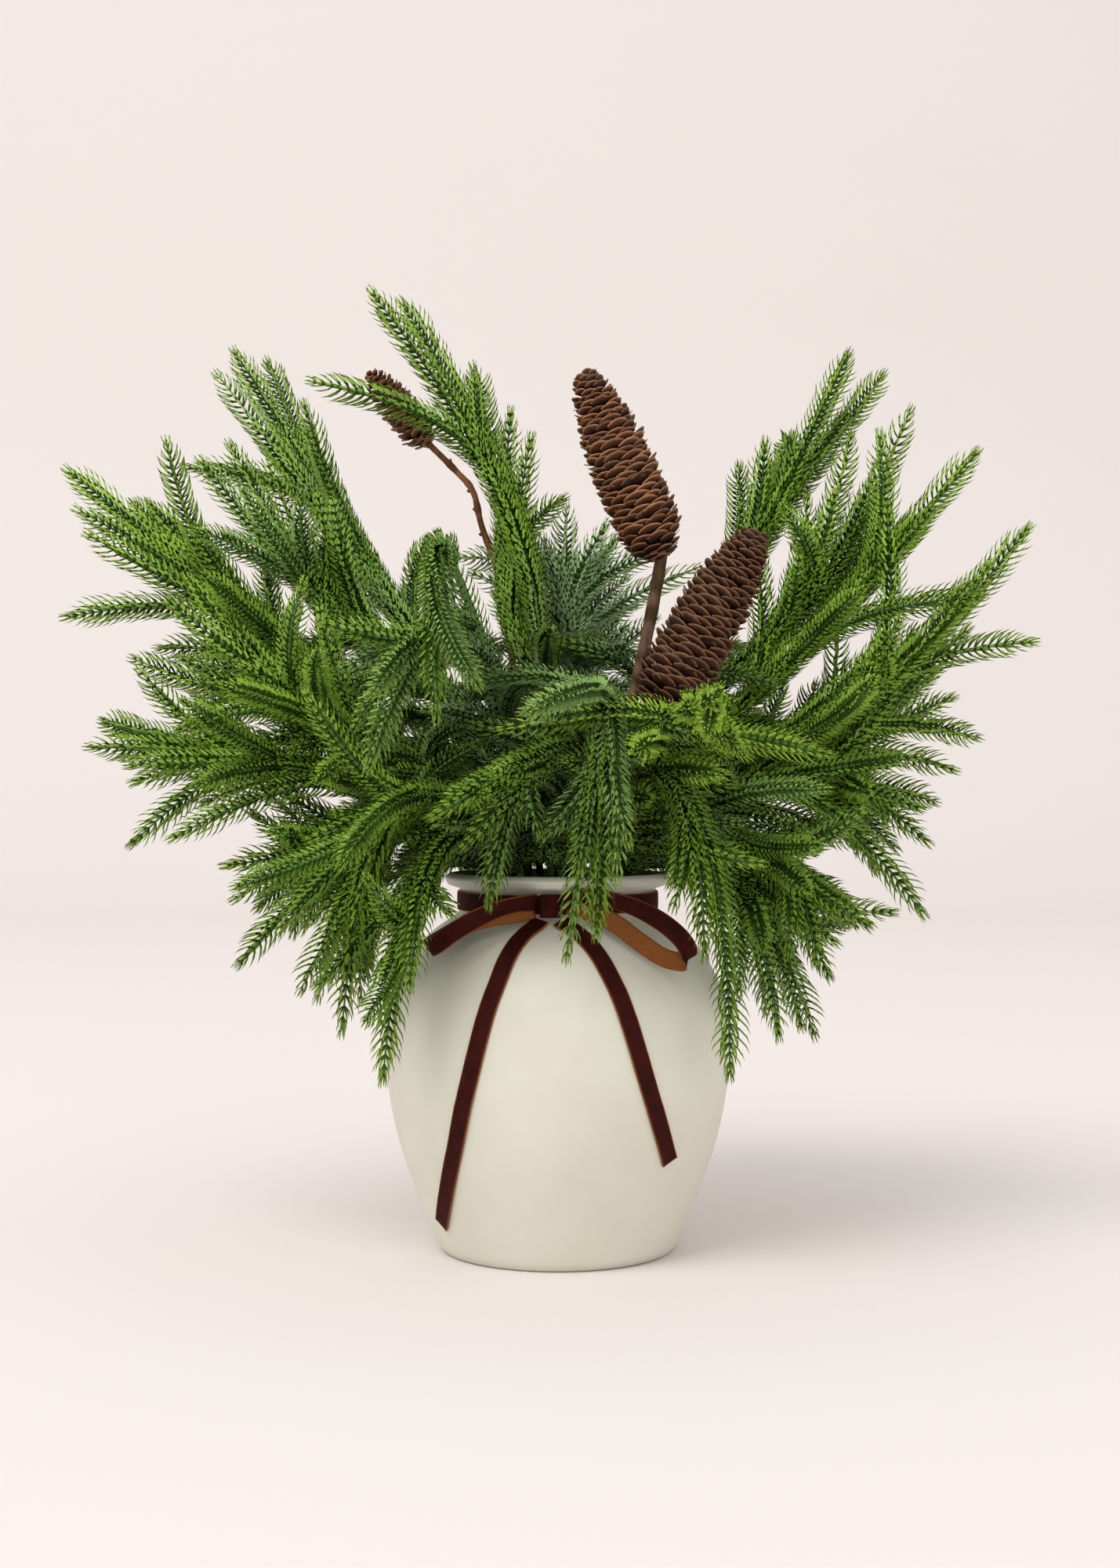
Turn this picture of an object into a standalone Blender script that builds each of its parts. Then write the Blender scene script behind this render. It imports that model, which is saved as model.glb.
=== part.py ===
"""Artificial tabletop tree: needled plastic sprays and three spruce cones on wire stems, standing in dry
foam inside a cream ceramic vase, with a velvet ribbon tied in a bow round the vase's neck.

Frame: the origin is the centre of the vase's flat base, +Z is up and -Y is the front, where the bow is.
Dimensions below are in millimetres and become metres where an object is made.
"""

import math

import bmesh
import bpy
from mathutils import Matrix, Vector, geometry

MM = 0.001
GAP = 0.3  # clearance between pieces that meet

# ---- vase -------------------------------------------------------------------------------------------
VASE_HEIGHT = 210.0
VASE_BELLY_RADIUS = 96.0
NECK_RADIUS = 55.0
WALL = 5.0
FLOOR_THICKNESS = 8.0
VASE_STEPS = 32
# (radius, height) down the outside, from under the lip to the foot
VASE_OUTSIDE = [
    (NECK_RADIUS, 201.5), (NECK_RADIUS, 189.5), (57.5, 186.5), (70.0, 177.5), (80.0, 167.0), (88.5, 153.0),
    (94.0, 137.0), (VASE_BELLY_RADIUS, 117.0), (94.8, 91.0), (89.0, 62.0), (81.0, 38.0), (72.0, 15.0),
    (67.5, 4.5), (61.5, 0.0),
]
# the rolled lip, from its inner edge over the top to the outside of the neck
LIP = [(52.0, 203.5), (56.0, 208.3), (60.0, VASE_HEIGHT), (63.2, 207.5), (61.5, 203.6)]

# ---- foam and wire legs -----------------------------------------------------------------------------
FOAM_RADIUS = 48.5
FOAM_TOP = 196.0
FOAM_STEPS = 32
LEG_FOOT = 105.0
PIVOT_HEIGHT = 208.0  # where a wire bends when its spray is arranged by hand
WIRE_RADIUS = 2.2
HOLE_ALLOWANCE = 0.55  # an eight-sided hole needs this to clear an eight-sided wire by the gap

# ---- sprays -----------------------------------------------------------------------------------------
TWIG_RADIUS = 1.8
TIP_CORE_RADIUS = 3.6  # moulded core and needle bases
TIP_END_RADIUS = 1.4
SIDE_BRANCH_STARTS = (0.84, 0.62)  # along the main stem, for the second and third branch
SIDE_BRANCH_SLANT = 0.8  # how much a side branch follows the stem as it leaves
FIRST_SIDE_TIP = 0.10
LAST_SIDE_TIP = 0.52
STEM_LAUNCH = 0.45  # share of its height over which a main stem stands upright
TIP_LAUNCH = 0.38  # share of its reach over which a tip keeps its twig's direction
STEM_POINTS = 5
TIP_POINTS = 5

# A spray's socket (x, y) in the foam, the fork (x, y, z) where its branches part, and its branches.
# A branch is the ends of its tips: the first is its leader, and the others grow from the leader's sides.
SPRAYS = {
    "back_left_high": ((-26, 22), (-70, 45, 325), [
        [(-200, 70, 500), (-195, 100, 520), (-180, 130, 520), (-145, 100, 455)],
        [(-200, 10, 440), (-190, 45, 455), (-160, -10, 435), (-140, -35, 415)]]),
    "left_mid": ((-38, 4), (-90, 5, 285), [
        [(-275, 10, 435), (-255, -25, 395), (-235, 40, 420), (-200, -20, 400), (-250, 65, 425)],
        [(-205, -60, 355), (-240, 20, 330), (-170, -95, 310), (-200, -30, 370)]]),
    "left_low": ((-35, -18), (-90, -25, 252), [
        [(-255, -20, 280), (-225, -60, 270), (-185, -90, 260), (-260, 30, 295)],
        [(-180, -20, 215), (-170, -45, 165), (-170, 20, 190), (-140, -75, 235)]]),
    "front_left_low": ((-20, -34), (-55, -72, 250), [
        [(-130, -35, 145), (-115, -60, 130), (-145, -65, 185), (-110, -10, 160)],
        [(-90, -95, 110), (-75, -115, 160), (-55, -112, 195), (-95, -120, 210)]]),
    "front_drape": ((-16, -14), (-55, -65, 375), [
        [(-60, -140, 295), (-50, -120, 325), (-40, -150, 310)],
        [(-90, -150, 305), (-92, -150, 270), (-115, -120, 340)]]),
    "top_sprig": ((-4, 6), (-10, 21, 345), [
        [(-105, 30, 540), (-90, 55, 540), (-50, 70, 505), (-135, 0, 485)],
        [(-28, 56, 475), (-16, 24, 455), (-22, 92, 432), (2, 8, 420)]]),
    "front_centre": ((2, -40), (20, -92, 295), [
        [(5, -120, 175), (30, -128, 215), (20, -108, 185), (-5, -115, 235)],
        [(-45, -115, 230), (-60, -125, 245), (-30, -130, 265), (-35, -95, 200)]]),
    "front_right": ((22, -34), (62, -92, 285), [
        [(80, -140, 305), (90, -150, 275), (60, -160, 295), (72, -175, 285)],
        [(75, -110, 175), (90, -85, 110), (60, -112, 200), (100, -115, 220)]]),
    "right_high": ((26, 22), (75, 25, 335), [
        [(170, 60, 510), (195, 90, 505), (120, 40, 455), (140, 100, 470)],
        [(200, 20, 470), (170, 45, 460), (155, 0, 420), (125, -25, 410)]]),
    "right_mid": ((38, 4), (90, 5, 290), [
        [(235, 10, 445), (185, 50, 425), (195, 90, 410), (205, -20, 410)],
        [(260, -10, 400), (230, -50, 375), (180, -70, 345), (160, -70, 320)],
        [(230, 60, 310), (225, 100, 345), (230, 10, 345)]]),
    "right_low": ((36, -18), (88, -22, 252), [
        [(215, 30, 250), (200, -20, 190), (195, 75, 240), (165, -60, 255)],
        [(165, -50, 185), (150, -10, 155), (130, -85, 205), (170, 35, 180)],
        [(145, 15, 120), (120, -35, 125), (108, -72, 175), (135, 60, 155)]]),
    "back_centre": ((6, 24), (5, 60, 320), [
        [(5, 95, 425), (35, 120, 410), (-30, 115, 430), (60, 95, 400), (-60, 130, 400)],
        [(0, 170, 400), (-40, 175, 380), (40, 180, 375), (85, 150, 395)]]),
    "back_low": ((0, 42), (0, 92, 262), [
        [(0, 205, 300), (-45, 195, 320), (45, 200, 325), (-20, 185, 250), (25, 180, 240)],
        [(-120, 155, 290), (-95, 150, 220), (-150, 120, 270), (-75, 175, 260)],
        [(120, 155, 290), (95, 150, 215), (150, 120, 265), (75, 175, 255)]]),
}

# ---- cones ------------------------------------------------------------------------------------------
CONE_ROWS = 9
CONE_STEPS = 10
# socket (x, y), stem points up to the cone's foot, cone tip, cone radius, stem radius
CONES = {
    "tall_cone": (
        (22, -12), [(30, -15, 255), (40, -20, 300), (50, -20, 345), (57, -20, 384)],
        (15, -20, 486), 19.0, 3.4),
    "leaning_cone": (
        (12, -22), [(18, -34, 240), (34, -50, 272), (52, -60, 298)],
        (106, -60, 394), 20.0, 3.0),
    "small_cone": (
        (-10, 30), [(-18, 48, 270), (-28, 58, 340), (-36, 60, 385), (-45, 60, 412), (-50, 60, 432),
                    (-60, 60, 444), (-76, 60, 460)],
        (-111, 60, 502), 12.0, 1.8),
}

# ---- ribbon -----------------------------------------------------------------------------------------
RIBBON_WIDTH = 10.0
RIBBON_THICKNESS = 0.9
BAND_HEIGHT = 194.8
KNOT_CENTRE = Vector((-4.0, -60.8, 194.5))
KNOT_SIZE = Vector((13.0, 7.0, 13.0))
KNOT_ROUNDING = 1.8
# (x, y, z) along each loop and the direction of the ribbon's width there
RIGHT_LOOP = [
    ((3.8, -62.2, 197.0), (0.0, 0.0, 1)), ((12, -66.5, 199.5), (0.05, -0.5, 1)),
    ((22, -71.5, 200), (0.15, -0.8, 1)), ((39, -78, 195.5), (0.3, -0.5, 1)),
    ((53, -82, 188.5), (0.5, -0.2, 1)), ((63, -82.5, 180.5), (0.7, 0, 1)),
    ((68, -80.5, 173.5), (0.8, 0, 1)), ((68.6, -77.5, 168), (0.8, -0.1, 1)),
    ((64.5, -75, 166), (0.75, -0.2, 1)), ((55, -73.5, 168.5), (0.7, -0.3, 1)),
    ((43, -72.5, 176.5), (0.6, -0.2, 1)), ((30, -69.5, 186), (0.4, -0.1, 1)),
    ((16, -64, 192.2), (0.2, 0, 1)), ((4.8, -59.8, 194.2), (0.0, 0, 1)),
]
LEFT_LOOP = [
    ((-11.8, -62.2, 196.5), (0.0, -0.4, 1)), ((-21, -68, 196), (-0.05, -0.7, 1)),
    ((-33, -74, 193), (-0.2, -0.5, 1)), ((-45, -77.5, 187.5), (-0.5, -0.2, 1)),
    ((-55, -77.5, 181.5), (-0.6, 0, 1)), ((-63, -75, 175.5), (-0.7, 0, 1)),
    ((-68.5, -70, 172.5), (-0.8, -0.1, 1)), ((-67, -65, 174), (-0.7, -0.2, 1)),
    ((-58, -64, 179.5), (-0.6, -0.2, 1)), ((-46, -65, 186), (-0.5, -0.2, 1)),
    ((-34, -65.5, 189), (-0.3, -0.2, 1)), ((-23, -63.5, 190.5), (-0.1, -0.1, 1)),
    ((-12.8, -59.8, 193), (0.0, 0, 1)),
]
# (angle round from the front in degrees, height, distance off the vase) down each tail
LEFT_TAIL = [
    (-9.0, 187.2, 3.0), (-10.6, 184.6, 2.4), (-14.4, 180.6, 1.9), (-17.4, 175.0, 1.5), (-19.4, 167.0, 1.3),
    (-20.9, 156.0, 1.3), (-23.0, 142.0, 1.3), (-25.2, 126.0, 1.3), (-28.0, 108.0, 1.3), (-31.5, 89.0, 1.3),
    (-36.0, 69.0, 1.3), (-42.5, 49.0, 1.3), (-50.0, 32.0, 1.3), (-56.6, 20.7, 1.3),
]
RIGHT_TAIL = [
    (1.2, 186.8, 3.2), (4.0, 184.6, 2.4), (9.0, 181.0, 1.9), (13.2, 175.4, 1.5), (16.2, 168.4, 1.3),
    (18.5, 160.0, 1.3), (20.9, 149.0, 1.3), (23.0, 136.0, 1.3), (25.8, 120.0, 1.3), (29.2, 103.0, 1.3),
    (33.6, 85.0, 1.3), (38.0, 70.5, 1.3), (41.9, 59.1, 1.3),
]

# ---- colours: base colour, roughness, metallic ------------------------------------------------------
FINISHES = {
    "cream_ceramic": ((0.78, 0.75, 0.66, 1), 0.55, 0.0),
    "green_foam": ((0.05, 0.13, 0.05, 1), 0.95, 0.0),
    "wrapped_wire": ((0.09, 0.07, 0.03, 1), 0.8, 0.0),
    "needle_plastic": ((0.07, 0.20, 0.04, 1), 0.5, 0.0),
    "cone_scale": ((0.13, 0.055, 0.025, 1), 0.7, 0.0),
    "bark": ((0.20, 0.09, 0.035, 1), 0.8, 0.0),
    "velvet_pile": ((0.05, 0.008, 0.004, 1), 0.9, 0.0),
}


def finish(name):
    """The named Principled material, made the first time that it is asked for."""
    if name in bpy.data.materials:
        return bpy.data.materials[name]
    colour, roughness, metallic = FINISHES[name]
    material = bpy.data.materials.new(name)
    material.use_nodes = True
    shader = material.node_tree.nodes["Principled BSDF"]
    shader.inputs["Base Color"].default_value = colour
    shader.inputs["Roughness"].default_value = roughness
    shader.inputs["Metallic"].default_value = metallic
    material.diffuse_color = colour
    return material


def clear_scene():
    for obj in list(bpy.data.objects):
        bpy.data.objects.remove(obj)


def add_object(name, mesh, material=None):
    mesh.name = name
    obj = bpy.data.objects.new(name, mesh)
    bpy.context.scene.collection.objects.link(obj)
    if material:
        mesh.materials.clear()
        mesh.materials.append(finish(material))
    return obj


def settled(obj):
    """The object's mesh with its modifiers applied; the object is removed."""
    depsgraph = bpy.context.evaluated_depsgraph_get()
    mesh = bpy.data.meshes.new_from_object(obj.evaluated_get(depsgraph))
    bpy.data.objects.remove(obj)
    return mesh


def joint_empty(name, socket):
    """An empty where a leg's wire bends, which its moving pieces hang on."""
    pivot = bpy.data.objects.new(f"{name}_bend", None)
    pivot.location = Vector((*socket, PIVOT_HEIGHT)) * MM
    bpy.context.scene.collection.objects.link(pivot)
    return pivot


def hang_on(pivot, obj):
    """Parents the object to the empty and leaves it where it is."""
    obj.parent = pivot
    obj.matrix_parent_inverse = Matrix.Translation(-pivot.location)


def smooth(mesh, angle=50):
    mesh.shade_smooth()
    mesh.set_sharp_from_angle(angle=math.radians(angle))


def turned(profile, steps):
    """A mesh turned about Z from (radius, height) pairs that run outwards, up, and down the outer side."""
    mesh = bpy.data.meshes.new("profile")
    bm = bmesh.new()
    corners = [bm.verts.new((radius * MM, 0, height * MM)) for radius, height in profile]
    for first, second in zip(corners, corners[1:]):
        bm.edges.new((first, second))
    if profile[0][0] > 0:
        bm.edges.new((corners[-1], corners[0]))
    bm.to_mesh(mesh)
    bm.free()
    obj = add_object("profile", mesh)
    screw = obj.modifiers.new("turn", "SCREW")
    screw.steps = screw.render_steps = steps
    screw.use_merge_vertices = True
    screw.merge_threshold = 1e-5
    return settled(obj)


def tube(points, radii, bevel_resolution=1):
    """A closed round tube along points in millimetres, with a radius at each point."""
    curve = bpy.data.curves.new("tube", "CURVE")
    curve.dimensions = "3D"
    curve.bevel_depth = 1.0
    curve.bevel_resolution = bevel_resolution
    curve.use_fill_caps = True
    spline = curve.splines.new("POLY")
    spline.points.add(len(points) - 1)
    for place, point, radius in zip(spline.points, points, radii):
        place.co = (*(Vector(point) * MM), 1)
        place.radius = radius * MM
    obj = bpy.data.objects.new("tube", curve)
    mesh = bpy.data.meshes.new_from_object(obj)
    bpy.data.objects.remove(obj)
    bm = bmesh.new()
    bm.from_mesh(mesh)
    bmesh.ops.remove_doubles(bm, verts=bm.verts, dist=1e-6)
    bmesh.ops.recalc_face_normals(bm, faces=bm.faces)
    bm.to_mesh(mesh)
    bm.free()
    return mesh


def combined(meshes, operation):
    """The first mesh with each of the others joined to it, or cut from it."""
    base = add_object("base", meshes[0])
    tools = [add_object("tool", mesh) for mesh in meshes[1:]]
    for tool in tools:
        modifier = base.modifiers.new("combine", "BOOLEAN")
        modifier.operation = operation
        modifier.solver = "EXACT"
        modifier.object = tool
    mesh = settled(base)
    for tool in tools:
        bpy.data.objects.remove(tool)
    return mesh


def bend(start, toward, end, count):
    """Points on a curve that leaves start towards a control point and arrives at end."""
    start, toward, end = Vector(start), Vector(toward), Vector(end)
    near_start = start.lerp(toward, 2 / 3)
    near_end = end.lerp(toward, 2 / 3)
    return geometry.interpolate_bezier(start, near_start, near_end, end, count)


def along(path, share):
    """(point, direction) at a share of the way along a path's points."""
    place = share * (len(path) - 1)
    index = min(int(place), len(path) - 2)
    point = path[index].lerp(path[index + 1], place - index)
    return point, (path[index + 1] - path[index]).normalized()


def tip_path(start, direction, end, count=TIP_POINTS):
    """A tip leaves the way its twig points, and bends towards its end."""
    reach = (Vector(end) - start).length
    return bend(start, start + direction * reach * TIP_LAUNCH, end, count)


def tip_radii(count, start_radius):
    """Thin at the twig, full over the middle and tapered at the end."""
    shares = [i / (count - 1) for i in range(count)]
    full = [start_radius + (TIP_CORE_RADIUS - start_radius) * min(1.0, s / 0.3) for s in shares]
    return [f if s < 0.6 else f + (TIP_END_RADIUS - f) * (s - 0.6) / 0.4 for f, s in zip(full, shares)]


def side_tips(leader, ends):
    """The paths of the tips that grow from the leader's sides."""
    step = (LAST_SIDE_TIP - FIRST_SIDE_TIP) / max(1, len(ends) - 1)
    paths = []
    for index, end in enumerate(ends):
        start, direction = along(leader, FIRST_SIDE_TIP + step * index)
        paths.append(tip_path(start, direction, end))
    return paths


def main_stem(socket, fork):
    """The bending part of a spray's main wire, from its pivot up to the fork."""
    pivot = Vector((*socket, PIVOT_HEIGHT))
    rise = Vector((0, 0, (fork[2] - PIVOT_HEIGHT) * STEM_LAUNCH))
    return bend(pivot, pivot + rise, fork, STEM_POINTS)


def rounded_start(path, radius):
    """A path and its radii with a ball-shaped lower end centred on the path's first point."""
    below = [path[0] - Vector((0, 0, radius)), path[0] - Vector((0, 0, radius * 0.6))]
    return below + path, [radius * 0.35, radius * 0.8] + [radius] * len(path)


def needle_branch(name, pivot, leader, leader_radii, ends, own_path):
    """One branch: its leader with the side tips joined to it."""
    sides = [tube(path, tip_radii(len(path), TWIG_RADIUS * 0.8)) for path in side_tips(own_path, ends)]
    mesh = combined([tube(leader, leader_radii)] + sides, "UNION")
    smooth(mesh)
    hang_on(pivot, add_object(name, mesh, "needle_plastic"))


def leg(name, socket, radius, material):
    """The straight wire that stands in the foam, up to just under the pivot."""
    top = PIVOT_HEIGHT - radius - GAP
    ends = [(*socket, LEG_FOOT - 6), (*socket, LEG_FOOT), (*socket, top)]
    mesh = tube(ends, [radius * 0.4, radius, radius], bevel_resolution=2)
    smooth(mesh)
    add_object(name, mesh, material)


def spray(name, socket, fork, branches):
    leg(f"{name}_leg", socket, WIRE_RADIUS, "wrapped_wire")
    pivot = joint_empty(name, socket)
    stem = main_stem(socket, fork)
    for index, ends in enumerate(branches):
        letter = "abc"[index]
        if index == 0:
            start, direction = stem[-1], (stem[-1] - stem[-2]).normalized()
            own_path = tip_path(start, direction, ends[0])
            lower, lower_radii = rounded_start(stem, WIRE_RADIUS)
            leader = lower + own_path[1:]
            radii = lower_radii + tip_radii(len(own_path), WIRE_RADIUS)[1:]
        else:
            root, direction = along(stem, SIDE_BRANCH_STARTS[index - 1])
            away = Vector(ends[0]) - root
            away = (away - direction * away.dot(direction)).normalized()
            start = root + away * (WIRE_RADIUS + TWIG_RADIUS + GAP)
            own_path = tip_path(start, (away + direction * SIDE_BRANCH_SLANT).normalized(), ends[0])
            leader, radii = own_path, tip_radii(len(own_path), TWIG_RADIUS)
        needle_branch(f"{name}_branch_{letter}", pivot, leader, radii, ends[1:], own_path)


def vase():
    inner = [(radius - WALL, height) for radius, height in reversed(VASE_OUTSIDE[::2]) if height > 12]
    floor = [(0, FLOOR_THICKNESS), (58.0, FLOOR_THICKNESS), (65.0, FLOOR_THICKNESS + 4)]
    mesh = turned(floor + inner + LIP + VASE_OUTSIDE + [(0, 0)], VASE_STEPS)
    smooth(mesh, 60)
    add_object("vase", mesh, "cream_ceramic")


def foam_block():
    low = FLOOR_THICKNESS + GAP
    block = turned([(0, low), (FOAM_RADIUS, low), (FOAM_RADIUS, FOAM_TOP), (0, FOAM_TOP)][::-1], FOAM_STEPS)
    sockets = [(spray_data[0], WIRE_RADIUS) for spray_data in SPRAYS.values()]
    sockets += [(cone_data[0], cone_data[4]) for cone_data in CONES.values()]
    drills = []
    for socket, radius in sockets:
        ends = [(*socket, LEG_FOOT - 8), (*socket, FOAM_TOP + 10)]
        drills.append(tube(ends, [radius + HOLE_ALLOWANCE] * 2, bevel_resolution=2))
    mesh = combined([block] + drills, "DIFFERENCE")
    add_object("foam_block", mesh, "green_foam")


def cone_profile(length, radius):
    """A turned outline of overlapping scales: full over the middle and drawn in towards the tip."""
    outline = [(0, 0)]
    pitch = length / CONE_ROWS
    for row in range(CONE_ROWS):
        share = (row + 0.5) / CONE_ROWS
        swell = 0.72 + 0.28 * share / 0.3 if share < 0.3 else 1.0 - 0.5 * ((share - 0.3) / 0.7) ** 2.2
        outline.append((radius * swell * 0.72, pitch * (row + 0.1)))
        outline.append((radius * swell, pitch * (row + 0.9)))
    outline.append((0, length))
    return outline


def cone(name, socket, stem_points, tip, radius, stem_radius):
    leg(f"{name}_leg", socket, stem_radius, "bark")
    pivot = joint_empty(name, socket)
    foot = Vector(stem_points[-1])
    heading = (Vector(tip) - foot).normalized()
    route = [Vector((*socket, PIVOT_HEIGHT))] + [Vector(p) for p in stem_points]
    path, radii = rounded_start(route, stem_radius)
    mesh = tube(path, radii, bevel_resolution=2)
    smooth(mesh)
    hang_on(pivot, add_object(f"{name}_stem", mesh, "bark"))
    start = foot + heading * (GAP + stem_radius * 0.6)
    length = (Vector(tip) - start).length
    mesh = turned(cone_profile(length, radius)[::-1], CONE_STEPS)
    smooth(mesh, 20)
    scales = add_object(name, mesh, "cone_scale")
    scales.location = start * MM
    scales.rotation_mode = "QUATERNION"
    scales.rotation_quaternion = heading.to_track_quat("Z", "Y")
    hang_on(pivot, scales)


def vase_radius(height):
    """The vase's outside radius at a height."""
    for (upper_r, upper_z), (lower_r, lower_z) in zip(VASE_OUTSIDE, VASE_OUTSIDE[1:]):
        if lower_z <= height <= upper_z and upper_z > lower_z:
            return lower_r + (upper_r - lower_r) * (height - lower_z) / (upper_z - lower_z)
    return NECK_RADIUS


def on_vase(angle, height, off):
    reach = vase_radius(height) + off
    turn = math.radians(angle)
    return Vector((reach * math.sin(turn), -reach * math.cos(turn), height))


def ribbon_strip(name, points, widths):
    """A strip of ribbon along points in millimetres, its width lying the way widths say."""
    mesh = bpy.data.meshes.new(name)
    bm = bmesh.new()
    before = None
    for index, (point, width) in enumerate(zip(points, widths)):
        last = min(index + 1, len(points) - 1)
        first = max(index - 1, 0)
        run = (points[last] - points[first]).normalized()
        across = (width - run * width.dot(run)).normalized() * RIBBON_WIDTH / 2
        pair = [bm.verts.new((point - across) * MM), bm.verts.new((point + across) * MM)]
        if before:
            bm.faces.new((before[0], pair[0], pair[1], before[1]))
        before = pair
    bm.to_mesh(mesh)
    bm.free()
    strip = add_object(name, mesh)
    solidify = strip.modifiers.new("thickness", "SOLIDIFY")
    solidify.thickness = RIBBON_THICKNESS * MM
    solidify.offset = 0
    solidify.use_even_offset = True
    mesh = settled(strip)
    smooth(mesh, 40)
    add_object(name, mesh, "velvet_pile")


def smooth_route(points, per_span=2):
    """A Catmull-Rom curve through the points."""
    points = [Vector(p) for p in points]
    ends = [points[0] * 2 - points[1]] + points + [points[-1] * 2 - points[-2]]
    route = []
    for a, b, c, d in zip(ends, ends[1:], ends[2:], ends[3:]):
        handle = (c - a) / 6
        next_handle = (d - b) / 6
        route += geometry.interpolate_bezier(b, b + handle, c - next_handle, c, per_span + 1)[:-1]
    return route + [points[-1]]


def bow_loop(name, stations):
    route = smooth_route([place for place, _ in stations])
    widths = smooth_route([width for _, width in stations])
    ribbon_strip(name, route, widths)


def bow_tail(name, stations):
    route = smooth_route([on_vase(*station) for station in stations])
    widths = []
    for index, point in enumerate(route):
        run = route[min(index + 1, len(route) - 1)] - route[max(index - 1, 0)]
        slope = (vase_radius(point.z + 1) - vase_radius(point.z - 1)) / 2
        outward = Vector((point.x, point.y, 0)).normalized() - Vector((0, 0, slope))
        widths.append(run.cross(outward))
    ribbon_strip(name, route, widths)


def bow():
    low, high = BAND_HEIGHT - RIBBON_WIDTH / 2, BAND_HEIGHT + RIBBON_WIDTH / 2
    inner = NECK_RADIUS + GAP
    outer = inner + RIBBON_THICKNESS
    band = turned([(inner, low), (inner, high), (outer, high), (outer, low)], VASE_STEPS)
    smooth(band)
    add_object("ribbon_band", band, "velvet_pile")
    mesh = bpy.data.meshes.new("bow_knot")
    bm = bmesh.new()
    bmesh.ops.create_cube(bm, size=1.0)
    bmesh.ops.scale(bm, vec=KNOT_SIZE * MM, verts=bm.verts)
    bmesh.ops.bevel(
        bm, geom=bm.edges[:], offset=KNOT_ROUNDING * MM, segments=2, profile=0.5, affect="EDGES", material=-1
    )
    bm.to_mesh(mesh)
    bm.free()
    smooth(mesh)
    knot = add_object("bow_knot", mesh, "velvet_pile")
    knot.location = KNOT_CENTRE * MM
    bow_loop("bow_loop_right", RIGHT_LOOP)
    bow_loop("bow_loop_left", LEFT_LOOP)
    bow_tail("ribbon_tail_left", LEFT_TAIL)
    bow_tail("ribbon_tail_right", RIGHT_TAIL)


def main():
    clear_scene()
    vase()
    foam_block()
    for name, (socket, fork, branches) in SPRAYS.items():
        spray(name, socket, fork, branches)
    for name, data in CONES.items():
        cone(name, *data)
    bow()


main()
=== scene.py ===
"""Looks of the artificial tabletop tree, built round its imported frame.

Needled plastic sprays and three spruce cones stand in a cream ceramic vase that has a velvet bow round its
neck. The file is laid out as an add-on with one operator for each group of pieces, and is run as a script.
The origin is the centre of the vase's flat base, +Z is up and -Y is the front. The tables below are in
millimetres, and become metres where a shape is made.
"""

import math
import random

import bmesh
import bpy
from bpy.props import FloatProperty, FloatVectorProperty, IntProperty, PointerProperty
from mathutils import Matrix, Quaternion, Vector, geometry


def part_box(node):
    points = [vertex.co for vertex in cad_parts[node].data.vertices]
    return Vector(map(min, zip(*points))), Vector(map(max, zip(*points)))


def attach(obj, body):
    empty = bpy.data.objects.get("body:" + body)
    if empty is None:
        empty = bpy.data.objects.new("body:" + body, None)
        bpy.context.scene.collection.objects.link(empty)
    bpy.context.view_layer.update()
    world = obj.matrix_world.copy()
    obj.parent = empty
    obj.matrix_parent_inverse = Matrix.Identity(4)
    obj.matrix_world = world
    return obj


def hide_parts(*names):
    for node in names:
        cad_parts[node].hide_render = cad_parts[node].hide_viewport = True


bl_info = {
    "name": "Tabletop tree in a vase",
    "version": (1, 0, 0),
    "blender": (4, 5, 0),
    "location": "3D View > Sidebar > Tabletop Tree",
    "description": "Makes the needles, cones, ribbon and vase of an artificial tabletop tree",
    "category": "Object",
}

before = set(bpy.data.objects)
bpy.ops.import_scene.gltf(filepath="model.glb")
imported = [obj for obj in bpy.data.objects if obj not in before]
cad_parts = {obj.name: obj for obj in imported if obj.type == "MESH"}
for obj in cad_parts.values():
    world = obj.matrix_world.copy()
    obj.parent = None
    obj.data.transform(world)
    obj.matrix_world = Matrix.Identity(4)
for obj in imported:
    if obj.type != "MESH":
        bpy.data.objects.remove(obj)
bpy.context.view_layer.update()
ROOT = "vase_and_ribbon"
GROWTH = "growth"
MM = 0.001

# ---- the frame's own layout, in millimetres ---------------------------------------------------------
NECK_RADIUS = 55.0
VASE_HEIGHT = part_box("vase")[1][2] / MM
LIP_RADIUS = 63.2
WALL = 5.0
VASE_OUTSIDE = [
    (NECK_RADIUS, 201.5), (NECK_RADIUS, 189.5), (57.5, 186.5), (70.0, 177.5), (80.0, 167.0), (88.5, 153.0),
    (94.0, 137.0), (96.0, 117.0), (94.8, 91.0), (89.0, 62.0), (81.0, 38.0), (72.0, 15.0), (67.5, 4.5),
    (61.5, 0.0),
]
LIP = [(52.0, 203.5), (56.0, 208.3), (60.0, VASE_HEIGHT), (LIP_RADIUS, 207.5), (61.5, 203.6)]
FOOT = [(64.6, 0.9), (62.6, 0.1), (60.0, 0.0), (0.0, 0.0)]
FLOOR = [(0.0, 8.0), (58.0, 8.0), (65.0, 11.0)]
FLOOR_EDGE = 13.0
PIVOT_HEIGHT = 208.0
WIRE_RADIUS = 2.2
TWIG_RADIUS = 1.8
STEM_GAP = 0.3
SIDE_BRANCH_STARTS = (0.84, 0.62)
FIRST_SIDE_TIP = 0.10
LAST_SIDE_TIP = 0.52
PATH_POINTS = 9

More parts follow.
